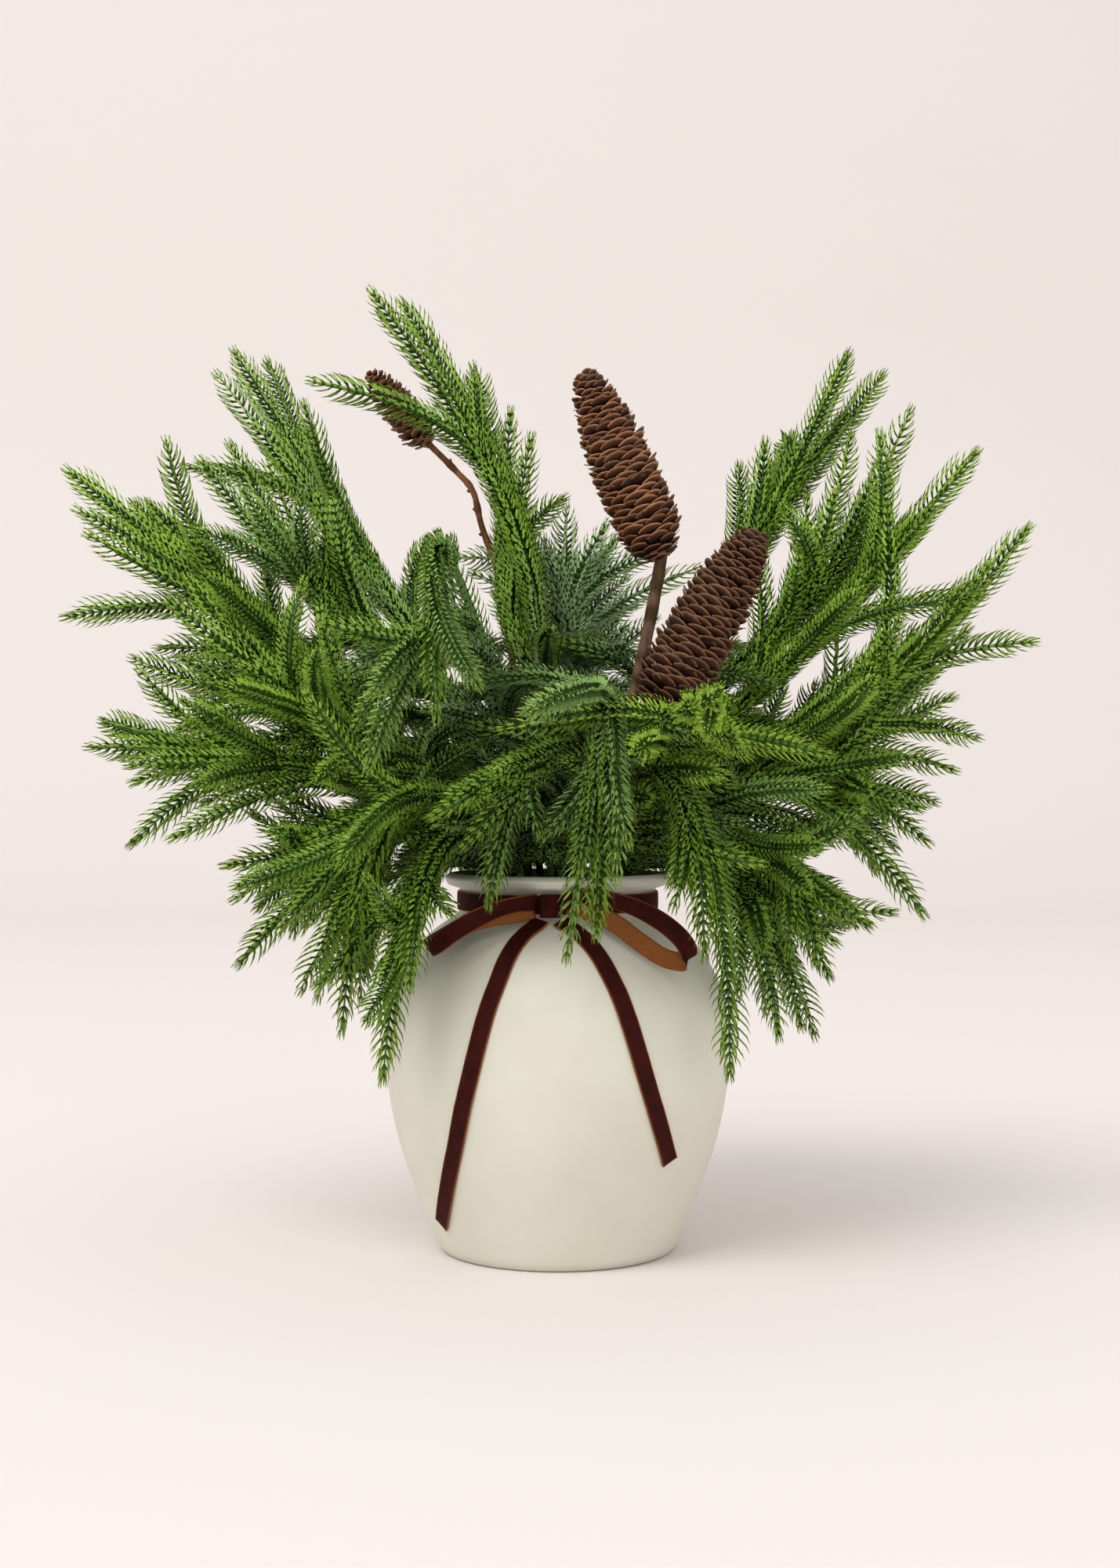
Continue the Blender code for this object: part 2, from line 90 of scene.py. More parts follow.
# socket (x, y), fork (x, y, z) and each branch's tip ends, its leader first
SPRAYS = {
    "back_left_high": ((-26, 22), (-70, 45, 325), [
        [(-200, 70, 500), (-195, 100, 520), (-180, 130, 520), (-145, 100, 455)],
        [(-200, 10, 440), (-190, 45, 455), (-160, -10, 435), (-140, -35, 415)]]),
    "left_mid": ((-38, 4), (-90, 5, 285), [
        [(-275, 10, 435), (-255, -25, 395), (-235, 40, 420), (-200, -20, 400), (-250, 65, 425)],
        [(-205, -60, 355), (-240, 20, 330), (-170, -95, 310), (-200, -30, 370)]]),
    "left_low": ((-35, -18), (-90, -25, 252), [
        [(-255, -20, 280), (-225, -60, 270), (-185, -90, 260), (-260, 30, 295)],
        [(-180, -20, 215), (-170, -45, 165), (-170, 20, 190), (-140, -75, 235)]]),
    "front_left_low": ((-20, -34), (-55, -72, 250), [
        [(-130, -35, 145), (-115, -60, 130), (-145, -65, 185), (-110, -10, 160)],
        [(-90, -95, 110), (-75, -115, 160), (-55, -112, 195), (-95, -120, 210)]]),
    "front_drape": ((-16, -14), (-55, -65, 375), [
        [(-60, -140, 295), (-50, -120, 325), (-40, -150, 310)],
        [(-90, -150, 305), (-92, -150, 270), (-115, -120, 340)]]),
    "top_sprig": ((-4, 6), (-10, 21, 345), [
        [(-105, 30, 540), (-90, 55, 540), (-50, 70, 505), (-135, 0, 485)],
        [(-28, 56, 475), (-16, 24, 455), (-22, 92, 432), (2, 8, 420)]]),
    "front_centre": ((2, -40), (20, -92, 295), [
        [(5, -120, 175), (30, -128, 215), (20, -108, 185), (-5, -115, 235)],
        [(-45, -115, 230), (-60, -125, 245), (-30, -130, 265), (-35, -95, 200)]]),
    "front_right": ((22, -34), (62, -92, 285), [
        [(80, -140, 305), (90, -150, 275), (60, -160, 295), (72, -175, 285)],
        [(75, -110, 175), (90, -85, 110), (60, -112, 200), (100, -115, 220)]]),
    "right_high": ((26, 22), (75, 25, 335), [
        [(170, 60, 510), (195, 90, 505), (120, 40, 455), (140, 100, 470)],
        [(200, 20, 470), (170, 45, 460), (155, 0, 420), (125, -25, 410)]]),
    "right_mid": ((38, 4), (90, 5, 290), [
        [(235, 10, 445), (185, 50, 425), (195, 90, 410), (205, -20, 410)],
        [(260, -10, 400), (230, -50, 375), (180, -70, 345), (160, -70, 320)],
        [(230, 60, 310), (225, 100, 345), (230, 10, 345)]]),
    "right_low": ((36, -18), (88, -22, 252), [
        [(215, 30, 250), (200, -20, 190), (195, 75, 240), (165, -60, 255)],
        [(165, -50, 185), (150, -10, 155), (130, -85, 205), (170, 35, 180)],
        [(145, 15, 120), (120, -35, 125), (108, -72, 175), (135, 60, 155)]]),
    "back_centre": ((6, 24), (5, 60, 320), [
        [(5, 95, 425), (35, 120, 410), (-30, 115, 430), (60, 95, 400), (-60, 130, 400)],
        [(0, 170, 400), (-40, 175, 380), (40, 180, 375), (85, 150, 395)]]),
    "back_low": ((0, 42), (0, 92, 262), [
        [(0, 205, 300), (-45, 195, 320), (45, 200, 325), (-20, 185, 250), (25, 180, 240)],
        [(-120, 155, 290), (-95, 150, 220), (-150, 120, 270), (-75, 175, 260)],
        [(120, 155, 290), (95, 150, 215), (150, 120, 265), (75, 175, 255)]]),
}
# how yellow each spray's green is, from 0, blue-green and pale, to 1, yellow and fresh
TONES = {
    "back_left_high": 0.34, "left_mid": 0.58, "left_low": 0.50, "front_left_low": 0.45, "front_drape": 0.26,
    "top_sprig": 0.50, "front_centre": 0.30, "front_right": 0.45, "right_high": 0.42, "right_mid": 0.52,
    "right_low": 0.36, "back_centre": 0.0, "back_low": 0.45,
}
FRESH_BRANCHES = {"front_right_branch_a": 0.9}
# how many more tips part from each of a spray's leaders
FORKS = {
    "back_left_high": 5, "left_mid": 8, "left_low": 8, "front_left_low": 6, "front_drape": 0, "top_sprig": 0,
    "front_centre": 2, "front_right": 0, "right_high": 0, "right_mid": 5, "right_low": 6, "back_centre": 4,
    "back_low": 8,
}

# socket (x, y), stem points, cone tip, cone radius, stem radius
CONES = {
    "tall_cone": (
        (22, -12), [(30, -15, 255), (40, -20, 300), (50, -20, 345), (57, -20, 384)],
        (15, -20, 486), 19.0, 3.4),
    "leaning_cone": (
        (12, -22), [(18, -34, 240), (34, -50, 272), (52, -60, 298)],
        (106, -60, 394), 20.0, 3.0),
    "small_cone": (
        (-10, 30), [(-18, 48, 270), (-28, 58, 340), (-36, 60, 385), (-45, 60, 412), (-50, 60, 432),
                    (-60, 60, 444), (-76, 60, 460)],
        (-111, 60, 502), 12.0, 1.8),
}

BAND_HEIGHT = 194.8
KNOT_CENTRE = Vector((-4.0, -60.8, 194.5))
# (x, y, z) along each loop and the direction of the ribbon's width there
RIGHT_LOOP = [
    ((3.8, -62.2, 197.0), (0.0, 0.0, 1)), ((12, -66.5, 199.5), (0.05, -0.5, 1)),
    ((22, -71.5, 200), (0.15, -0.8, 1)), ((39, -78, 195.5), (0.3, -0.5, 1)),
    ((53, -82, 188.5), (0.5, -0.2, 1)), ((63, -82.5, 180.5), (0.7, 0, 1)),
    ((68, -80.5, 173.5), (0.8, 0, 1)), ((68.6, -77.5, 168), (0.8, -0.1, 1)),
    ((64.5, -75, 166), (0.75, -0.2, 1)), ((55, -73.5, 168.5), (0.7, -0.3, 1)),
    ((43, -72.5, 176.5), (0.6, -0.2, 1)), ((30, -69.5, 186), (0.4, -0.1, 1)),
    ((16, -64, 192.2), (0.2, 0, 1)), ((4.8, -59.8, 194.2), (0.0, 0, 1)),
]
LEFT_LOOP = [
    ((-11.8, -62.2, 196.5), (0.0, -0.4, 1)), ((-21, -68, 196), (-0.05, -0.7, 1)),
    ((-33, -74, 193), (-0.2, -0.5, 1)), ((-45, -77.5, 187.5), (-0.5, -0.2, 1)),
    ((-55, -77.5, 181.5), (-0.6, 0, 1)), ((-63, -75, 175.5), (-0.7, 0, 1)),
    ((-68.5, -70, 172.5), (-0.8, -0.1, 1)), ((-67, -65, 174), (-0.7, -0.2, 1)),
    ((-58, -64, 179.5), (-0.6, -0.2, 1)), ((-46, -65, 186), (-0.5, -0.2, 1)),
    ((-34, -65.5, 189), (-0.3, -0.2, 1)), ((-23, -63.5, 190.5), (-0.1, -0.1, 1)),
    ((-12.8, -59.8, 193), (0.0, 0, 1)),
]
# (angle round from the front in degrees, height, distance off the vase) down each tail
LEFT_TAIL = [
    (-9.0, 187.2, 3.0), (-10.6, 184.6, 2.4), (-14.4, 180.6, 1.9), (-17.4, 175.0, 1.5), (-19.4, 167.0, 1.3),
    (-20.9, 156.0, 1.3), (-23.0, 142.0, 1.3), (-25.2, 126.0, 1.3), (-28.0, 108.0, 1.3), (-31.5, 89.0, 1.3),
    (-36.0, 69.0, 1.3), (-42.5, 49.0, 1.3), (-50.0, 32.0, 1.3), (-56.6, 20.7, 1.3),
]
RIGHT_TAIL = [
    (1.2, 186.8, 3.2), (4.0, 184.6, 2.4), (9.0, 181.0, 1.9), (13.2, 175.4, 1.5), (16.2, 168.4, 1.3),
    (18.5, 160.0, 1.3), (20.9, 149.0, 1.3), (23.0, 136.0, 1.3), (25.8, 120.0, 1.3), (29.2, 103.0, 1.3),
    (33.6, 85.0, 1.3), (38.0, 70.5, 1.3), (41.9, 59.1, 1.3),
]


# ---- sizes and colours that a user would change -----------------------------------------------------
def length_prop(name, description, default):
    return FloatProperty(
        name=name, description=description, default=default, unit="LENGTH", precision=4, min=0.0
    )


def power_prop(name, description, default):
    return FloatProperty(name=name, description=description, default=default, unit="POWER")


def colour_prop(name, description, default):
    return FloatVectorProperty(
        name=name, description=description, default=default, subtype="COLOR", size=4, min=0.0, max=1.0
    )


class VaseSettings(bpy.types.PropertyGroup):
    steps: IntProperty(name="Steps", description="Facets round the vase", default=128, min=24)
    glaze: colour_prop("Glaze", "The cream glaze", (0.70, 0.685, 0.585, 1))
    glaze_shade: colour_prop("Glaze shade", "The glaze where it is a little thicker", (0.655, 0.635, 0.53, 1))


class SpraySettings(bpy.types.PropertyGroup):
    needle_length: length_prop("Needle length", "Length of a full needle", 0.0145)
    needle_width: length_prop("Needle width", "Width of a needle where it is widest", 0.0016)
    pitch: length_prop("Pitch", "Distance between whorls of needles", 0.0034)
    # painted shade: this darker green is painted on each needle's root, where the needles crowd round the
    # core; the cores' grain is mixed with it too
    needle_dark: colour_prop("Needle root", "Green at a needle's root", (0.06, 0.155, 0.016, 1))
    needle_mid: colour_prop("Needle", "Green of most needles", (0.235, 0.44, 0.035, 1))
    needle_pale: colour_prop("Pale needle", "The paler, bluer green", (0.43, 0.66, 0.29, 1))
    needle_fresh: colour_prop("Fresh needle", "The fresh yellow green", (0.42, 0.66, 0.06, 1))
    core: colour_prop("Core", "Dark green core that the needles are moulded on", (0.11, 0.25, 0.035, 1))
    bark: colour_prop("Stem wrap", "Brown-green wrap on the wires", (0.045, 0.038, 0.014, 1))


class ConeSettings(bpy.types.PropertyGroup):
    scales: IntProperty(name="Scales", description="Scales on a large cone", default=310, min=20)
    face: colour_prop("Scale", "Brown of a scale's face", (0.088, 0.029, 0.010, 1))
    young: colour_prop("Young scale", "Orange brown of the small cone's scales", (0.23, 0.085, 0.03, 1))
    # the lighter edge brown is partly the thin edge's own colour and partly a painted highlight
    edge: colour_prop("Scale edge", "Lighter brown of a scale's thin edge", (0.33, 0.15, 0.07, 1))
    # painted shade: this near-black brown is painted on the inner half of each scale and on the cone's core,
    # where the gaps between the scales are in shade
    core: colour_prop("Core", "Dark brown between the scales", (0.010, 0.004, 0.002, 1))
    stem: colour_prop("Stem", "Brown of the wrapped stems", (0.15, 0.075, 0.03, 1))
    twig: colour_prop("Twig", "Red-brown of the small cone's twig", (0.34, 0.125, 0.045, 1))


class RibbonSettings(bpy.types.PropertyGroup):
    width: length_prop("Width", "Width of the ribbon", 0.010)
    thickness: length_prop("Thickness", "Thickness with the pile", 0.0009)
    pile: colour_prop("Pile", "Dark red-brown velvet", (0.026, 0.0022, 0.0012, 1))
    pile_sheen: colour_prop("Pile sheen", "Glow of the pile at its edges", (0.42, 0.06, 0.02, 1))
    back: colour_prop("Back", "Rust-coloured back and edges", (0.26, 0.085, 0.015, 1))


class StageSettings(bpy.types.PropertyGroup):
    floor: colour_prop("Floor", "Pale floor and backdrop", (0.80, 0.748, 0.722, 1))
    key_power: power_prop("Key", "Power of the key light in watts", 300.0)
    fill_power: power_prop("Fill", "Power of the fill light in watts", 14.0)
    sky: FloatProperty(name="Sky", description="Strength of the even light all round", default=0.85)


# ---- shapes -----------------------------------------------------------------------------------------
def bend(start, toward, end, count):
    """Points on a curve that leaves start towards a control point and arrives at end."""
    start, toward, end = Vector(start), Vector(toward), Vector(end)
    return geometry.interpolate_bezier(start, start.lerp(toward, 2 / 3), end.lerp(toward, 2 / 3), end, count)


def along(path, share):
    """(point, direction) at a share of the way along a path's points."""
    place = share * (len(path) - 1)
    index = min(int(place), len(path) - 2)
    return path[index].lerp(path[index + 1], place - index), (path[index + 1] - path[index]).normalized()


def smooth_route(points, per_span):
    """A Catmull-Rom curve through the points."""
    points = [Vector(p) for p in points]
    ends = [points[0] * 2 - points[1]] + points + [points[-1] * 2 - points[-2]]
    route = []
    for a, b, c, d in zip(ends, ends[1:], ends[2:], ends[3:]):
        route += geometry.interpolate_bezier(b, b + (c - a) / 6, c - (d - b) / 6, c, per_span + 1)[:-1]
    return route + [points[-1]]


def rail(points):
    """A matrix at each point: Z runs along the path and the other axes turn as little as they can."""
    turn = (points[1] - points[0]).to_track_quat("Z", "Y")
    matrices = []
    for index, point in enumerate(points):
        run = points[min(index + 1, len(points) - 1)] - points[max(index - 1, 0)]
        turn = (turn @ Vector((0, 0, 1))).rotation_difference(run) @ turn
        matrices.append(Matrix.LocRotScale(point, turn, None))
    return matrices


def at_share(matrices, share):
    """The matrix at a share of the way along a rail."""
    place = share * (len(matrices) - 1)
    index = min(int(place), len(matrices) - 2)
    return matrices[index].lerp(matrices[index + 1], place - index)


def swept(bm, stations, sides, pointed=False):
    """A closed tube through stations, which are matrices that each place a circle of radius 1."""
    made = bmesh.ops.create_circle(bm, cap_ends=True, segments=sides, radius=1.0, matrix=stations[0])
    face = made["verts"][0].link_faces[0]
    for before, after in zip(stations, stations[1:]):
        made = bmesh.ops.extrude_face_region(bm, geom=[face])["geom"]
        face = next(item for item in made if isinstance(item, bmesh.types.BMFace))
        bmesh.ops.transform(bm, matrix=after @ before.inverted(), verts=face.verts[:])
    if pointed:
        bmesh.ops.pointmerge(bm, verts=face.verts[:], merge_co=stations[-1].translation)


def sized(matrix, across, deep=None):
    """The matrix with its circle scaled."""
    return matrix @ Matrix.Diagonal((across, across if deep is None else deep, 1, 1))


def to_metres(matrix):
    """The matrix with its place, but not its axes, brought from millimetres to metres."""
    return Matrix.Translation(matrix.translation * (MM - 1)) @ matrix


def tube_stations(points, radii):
    """Stations in metres for a round tube along points in millimetres."""
    return [sized(to_metres(matrix), radius * MM) for matrix, radius in zip(rail(points), radii)]


def mesh_of(name, bm):
    """A mesh with the bmesh's shape. The bmesh is freed."""
    mesh = bpy.data.meshes.new(name)
    bm.to_mesh(mesh)
    bm.free()
    return mesh


def add_object(name, data):
    made = bpy.data.objects.new(name, data)
    bpy.context.scene.collection.objects.link(made)
    return made


def add_piece(name, bm, materials, body, node):
    """Makes the piece from its bmesh, rides it on its body and hides the frame node that it stands for."""
    mesh = mesh_of(name, bm)
    piece = add_object(name, mesh)
    for material in materials:
        mesh.materials.append(material)
    mesh.shade_smooth()
    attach(piece, body)
    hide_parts(node)
    return piece


def paint_node(node, material):
    """Gives its finish to a frame node that stays in sight."""
    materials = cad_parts[node].data.materials
    materials.clear()
    materials.append(material)


def growth_layer(bm):
    """The vertex colours that carry a place on a needle, scale or ribbon to its material."""
    return bm.verts.layers.float_color.new(GROWTH)


def growth_of(mesh):
    """A mesh's growth colours as one flat list."""
    flat = [0.0] * (4 * len(mesh.vertices))
    mesh.attributes[GROWTH].data.foreach_get("color", flat)
    return flat


def repaint(mesh, flat, green, blue):
    """Sets the mesh's growth colours to the flat list with its green and blue replaced."""
    painted = list(flat)
    painted[1::4] = [green] * len(mesh.vertices)
    painted[2::4] = [blue] * len(mesh.vertices)
    mesh.attributes[GROWTH].data.foreach_set("color", painted)


# ---- materials --------------------------------------------------------------------------------------
class Finish:
    """A Principled material and the short chains of nodes that the finishes are made of."""

    def __init__(self, name, roughness, **values):
        self.material = bpy.data.materials.new(name)
        self.material.use_nodes = True
        self.tree = self.material.node_tree
        self.shader = self.tree.nodes["Principled BSDF"]
        self.shader.inputs["Roughness"].default_value = roughness
        for socket, value in values.items():
            self.shader.inputs[socket.replace("_", " ")].default_value = value
        self.coords = self.tree.nodes.new("ShaderNodeTexCoord").outputs["Object"]

    def node(self, kind, links=(), **values):
        made = self.tree.nodes.new(kind)
        for name, value in values.items():
            setattr(made, name, value)
        for socket, source in dict(links).items():
            if isinstance(source, bpy.types.NodeSocket):
                self.tree.links.new(source, made.inputs[socket])
            else:
                made.inputs[socket].default_value = source
        return made

    def noise(self, scale, detail=3.0, rough=0.55, vector=None):
        links = {"Vector": vector or self.coords, "Scale": scale, "Detail": detail, "Roughness": rough}
        return self.node("ShaderNodeTexNoise", links).outputs["Fac"]

    def stretch(self, scale):
        """Object coordinates scaled by axis."""
        return self.node("ShaderNodeMapping", {"Vector": self.coords, "Scale": scale}).outputs["Vector"]

    def span(self, value, low, high, to_low=0.0, to_high=1.0):
        links = {"Value": value, "From Min": low, "From Max": high, "To Min": to_low, "To Max": to_high}
        return self.node("ShaderNodeMapRange", links).outputs["Result"]

    def mix(self, share, first, second, blend="MIX"):
        made = self.node("ShaderNodeMix", data_type="RGBA", blend_type=blend)
        for name, source in (("Factor_Float", share), ("A_Color", first), ("B_Color", second)):
            socket = next(s for s in made.inputs if s.identifier == name)
            if isinstance(source, bpy.types.NodeSocket):
                self.tree.links.new(source, socket)
            else:
                socket.default_value = source
        return next(s for s in made.outputs if s.identifier == "Result_Color")

    def growth(self):
        """The red, green and blue of a piece's growth colours."""
        colour = self.node("ShaderNodeAttribute", attribute_name=GROWTH).outputs["Color"]
        return self.node("ShaderNodeSeparateColor", {"Color": colour}).outputs

    def paint(self, colour):
        self.tree.links.new(colour, self.shader.inputs["Base Color"])

    def vary_roughness(self, value, low, high):
        self.tree.links.new(self.span(value, 0.3, 0.7, low, high), self.shader.inputs["Roughness"])

    def bump(self, height, distance, strength=1.0):
        links = {"Height": height, "Distance": distance, "Strength": strength}
        normal = self.shader.inputs["Normal"]
        if normal.is_linked:
            links["Normal"] = normal.links[0].from_socket
        self.tree.links.new(self.node("ShaderNodeBump", links).outputs["Normal"], normal)


def shaded(colour, share):
    """The colour with its brightness scaled."""
    return [channel * share for channel in colour[:3]] + [1]


def material_once(name, make):
    """The named material, made the first time that it is asked for."""
    return bpy.data.materials.get(name) or make(name)


def glaze_material(name):
    settings = bpy.context.scene.tree_vase
    finish = Finish(name, 0.42, Specular_IOR_Level=0.4, Coat_Weight=0.12, Coat_Roughness=0.35)
    cloud = finish.noise(14.0, 4.0)
    finish.paint(finish.mix(finish.span(cloud, 0.35, 0.65), settings.glaze, settings.glaze_shade))
    finish.vary_roughness(finish.noise(60.0, 3.0), 0.38, 0.5)
    finish.bump(finish.noise(35.0, 2.0), 0.0006, 0.12)
    finish.bump(finish.noise(900.0, 2.0), 0.0001, 0.12)
    return finish.material


def needle_material(name):
    settings = bpy.context.scene.tree_sprays
    finish = Finish(name, 0.45, Specular_IOR_Level=0.3)
    needle, tone, reach = finish.growth()[:3]
    body = finish.mix(finish.span(tone, 0.45, 1.0), settings.needle_mid, settings.needle_fresh)
    body = finish.mix(finish.span(tone, 0.35, 0.0), body, settings.needle_pale)
    grown = finish.mix(finish.span(reach, 0.75, 1.0, 0.0, 0.45), body, settings.needle_fresh)
    # painted shade: each needle darkens to the root green over the third of it next to the core
    root_shaded = finish.mix(finish.span(needle, 0.0, 0.35), settings.needle_dark, grown)
    # painted light: each needle's outer part brightens towards its tip, where the light catches it
    lit = finish.mix(1.0, root_shaded, finish.span(needle, 0.4, 1.0, 0.92, 1.3), "MULTIPLY")
    patch = finish.span(finish.noise(45.0, 2.0), 0.35, 0.65, 0.75, 1.15)
    painted_light_and_patches = finish.mix(1.0, lit, patch, "MULTIPLY")
    # painted shade: needles darken towards the middle of the arrangement, down to about a quarter within 5 cm
    # of it
    middle = finish.node("ShaderNodeVectorMath", {0: finish.coords, 1: SHADED_MIDDLE}, operation="DISTANCE")
    interior_shade = finish.span(middle.outputs["Value"], 0.05, 0.14, 0.26, 1.0)
    finish.paint(finish.mix(1.0, painted_light_and_patches, interior_shade, "MULTIPLY"))
    finish.bump(finish.noise(1400.0, 1.0), 0.00015, 0.3)
    return finish.material


def wrap_material(name):
    settings = bpy.context.scene.tree_sprays
    finish = Finish(name, 0.7)
    grain = finish.noise(260.0, 4.0)
    finish.paint(finish.mix(finish.span(grain, 0.35, 0.7), settings.bark, shaded(settings.bark, 0.45)))
    finish.bump(grain, 0.0005, 0.5)
    return finish.material


def core_material(name):
    settings = bpy.context.scene.tree_sprays
    finish = Finish(name, 0.6)
    grain = finish.noise(220.0, 3.0)
    finish.paint(finish.mix(finish.span(grain, 0.35, 0.7), settings.core, settings.needle_dark))
    finish.bump(grain, 0.0004, 0.5)
    return finish.material


def bark_finish(name, colour):
    finish = Finish(name, 0.72)
    grain = finish.noise(1.0, 5.0, 0.6, finish.stretch((420, 420, 90)))
    finish.paint(finish.mix(finish.span(grain, 0.38, 0.66), colour, shaded(colour, 0.35)))
    turns = {"Vector": finish.stretch((40, 40, 150)), "Scale": 0.35, "Distortion": 2.0}
    finish.bump(finish.node("ShaderNodeTexWave", turns).outputs["Fac"], 0.0006, 0.5)
    finish.bump(grain, 0.0004, 0.6)
    return finish.material


def stem_material(name):
    return bark_finish(name, bpy.context.scene.tree_cones.stem)


def twig_material(name):
    return bark_finish(name, bpy.context.scene.tree_cones.twig)


def scale_material(name):
    settings = bpy.context.scene.tree_cones
    finish = Finish(name, 0.62, Specular_IOR_Level=0.35)
    reach, shade, youth = finish.growth()[:3]
    grain = finish.noise(300.0, 4.0, 0.6)
    brown = finish.mix(youth, settings.face, settings.young)
    # painted shade: the inner half of each scale fades to the near-black core brown
    face = finish.mix(finish.span(reach, 0.5, 0.95), settings.core, brown)
    # the outer rim turns to the edge brown: partly the thin edge's own colour, partly a painted highlight
    edged = finish.mix(finish.span(reach, 0.9, 1.0, 0.0, 0.9), face, settings.edge)
    # each scale's brightness follows its green channel: a random tone, which on the leaning cone is held low
    # as painted shade over the whole cone
    varied_and_shaded = finish.mix(1.0, edged, finish.span(shade, 0.0, 1.0, 0.55, 1.45), "MULTIPLY")
    finish.paint(finish.mix(1.0, varied_and_shaded, finish.span(grain, 0.3, 0.7, 0.7, 1.25), "MULTIPLY"))
    finish.bump(grain, 0.0004, 0.6)
    return finish.material


def velvet_material(name):
    settings = bpy.context.scene.tree_ribbon
    sheen = {"Sheen_Weight": 0.22, "Sheen_Roughness": 0.3, "Sheen_Tint": settings.pile_sheen}
    finish = Finish(name, 0.85, Specular_IOR_Level=0.15, **sheen)
    across = finish.growth()[0]
    pile = finish.noise(1500.0, 2.0)
    brushed = finish.span(finish.noise(120.0, 3.0), 0.4, 0.7, 0.0, 0.5)
    nap = finish.mix(brushed, settings.pile, shaded(settings.pile, 2.6))
    finish.paint(finish.mix(finish.span(across, 0.84, 1.0, 0.0, 0.7), nap, settings.back))
    finish.bump(pile, 0.0003, 0.6)
    return finish.material


def ribbon_back_material(name):
    settings = bpy.context.scene.tree_ribbon
    sheen = {"Sheen_Weight": 0.08, "Sheen_Roughness": 0.4, "Sheen_Tint": settings.pile_sheen}
    finish = Finish(name, 0.7, Specular_IOR_Level=0.2, **sheen)
    weave = finish.noise(1800.0, 1.0)
    finish.paint(finish.mix(finish.span(weave, 0.4, 0.65), settings.back, shaded(settings.back, 0.55)))
    finish.bump(weave, 0.0002, 0.5)
    return finish.material


def foam_material(name):
    finish = Finish(name, 0.95)
    crumbs = finish.noise(700.0, 3.0)
    finish.paint(finish.mix(finish.span(crumbs, 0.4, 0.6), (0.02, 0.06, 0.02, 1), (0.06, 0.15, 0.05, 1)))
    finish.bump(crumbs, 0.001, 0.8)
    return finish.material


def floor_material(name):
    settings = bpy.context.scene.tree_stage
    finish = Finish(name, 0.85, Specular_IOR_Level=0.15)
    finish.paint(finish.mix(finish.noise(3.0, 2.0), settings.floor, shaded(settings.floor, 0.985)))
    return finish.material


# ---- the vase ---------------------------------------------------------------------------------------
def vase_radius(height):
    """The vase's outside radius at a height."""
    for (upper_r, upper_z), (lower_r, lower_z) in zip(VASE_OUTSIDE, VASE_OUTSIDE[1:]):
        if lower_z <= height <= upper_z and upper_z > lower_z:
            return lower_r + (upper_r - lower_r) * (height - lower_z) / (upper_z - lower_z)
    return NECK_RADIUS


def upright(profile):
    """The (radius, height) pairs as points over the X axis."""
    return [Vector((radius, 0, height)) for radius, height in profile]


class TREE_OT_vase(bpy.types.Operator):
    """Turns the vase with its rolled lip and hollow neck"""

    bl_idname = "tree.vase"
    bl_label = "Vase"

    def execute(self, context):
        settings = context.scene.tree_vase
        outside = upright(VASE_OUTSIDE[:1]) + smooth_route(upright(VASE_OUTSIDE[1:-1]), 4)
        inside = [Vector((p.x - WALL, 0, p.z)) for p in reversed(outside[::2]) if p.z > FLOOR_EDGE]
        profile = upright(FLOOR) + inside + smooth_route(upright(LIP), 5) + outside + upright(FOOT)
        bm = bmesh.new()
        points = [bm.verts.new(p * MM) for p in profile]
        edges = [bm.edges.new(pair) for pair in zip(points, points[1:])]
        turning = {"cent": (0, 0, 0), "axis": (0, 0, 1), "angle": math.tau, "steps": settings.steps}
        bmesh.ops.spin(bm, geom=points + edges, use_merge=True, **turning)
        bmesh.ops.remove_doubles(bm, verts=bm.verts, dist=1e-6)
        bmesh.ops.recalc_face_normals(bm, faces=bm.faces)
        glaze = material_once("cream_glaze", glaze_material)
        add_piece("glazed_vase", bm, [glaze], ROOT, "vase")
        paint_node("foam_block", material_once("dry_foam", foam_material))
        return {"FINISHED"}


# ---- needled sprays ---------------------------------------------------------------------------------
GOLDEN_ANGLE = math.radians(137.508)
SHADED_MIDDLE = (0.0, 0.0, 0.27)  # the middle of the arrangement, towards which the needles get painted shade, in metres
# how far along a needle a ring lies, how wide it is and how far it bows, as shares of the needle
NEEDLE_RINGS = ((0.0, 0.7, 0.0), (0.34, 1.0, 0.02), (0.70, 0.8, -0.05), (1.0, 0.05, -0.21))
NEEDLE_DEEP, NEEDLE_BROAD = 0.36, 0.58
WHORL_NEEDLES = 6
LEANS = (50, 41, 25)  # degrees from the tip's core: along it, near its end, and at its end
NEAR_END, AT_END = 3.0, 1.2  # whorls left where the second and the third lean start
END_WHORLS, FIRST_WHORLS = 4.5, 3.0  # over how many whorls the needles grow to full length at both ends
VARIANTS = 3
# the radius of the bare core at the points of a path
LEADER_CORE = (1.9, 1.8, 1.7, 1.6, 1.4, 1.2, 1.0, 0.8, 0.5)
SIDE_CORE = (1.5, 1.4, 1.4, 1.3, 1.2, 1.1, 1.0, 0.8, 0.5)
FILLER_CORE = (1.3, 1.3, 1.2, 1.2, 1.1, 1.0, 0.9, 0.7, 0.5)
SHORT_CORE = (1.2, 1.2, 1.2, 1.2, 1.2, 1.0, 0.9, 0.8, 0.6)
TIP_PULL = 0.38  # how far a tip follows its parent's direction, as a share of its reach
INNER_TONE = -0.1  # how much bluer the stems' own needles are
# tips round a main stem: how many, the share of the stem that they leave, their length, and the highest start
STEM_TIPS = 13
STEM_TIPS_FROM, STEM_TIPS_OVER = 0.06, 0.92
STEM_TIP_LENGTH, STEM_TIP_GROWTH = 42, 44
STEM_TIPS_TOP = 325
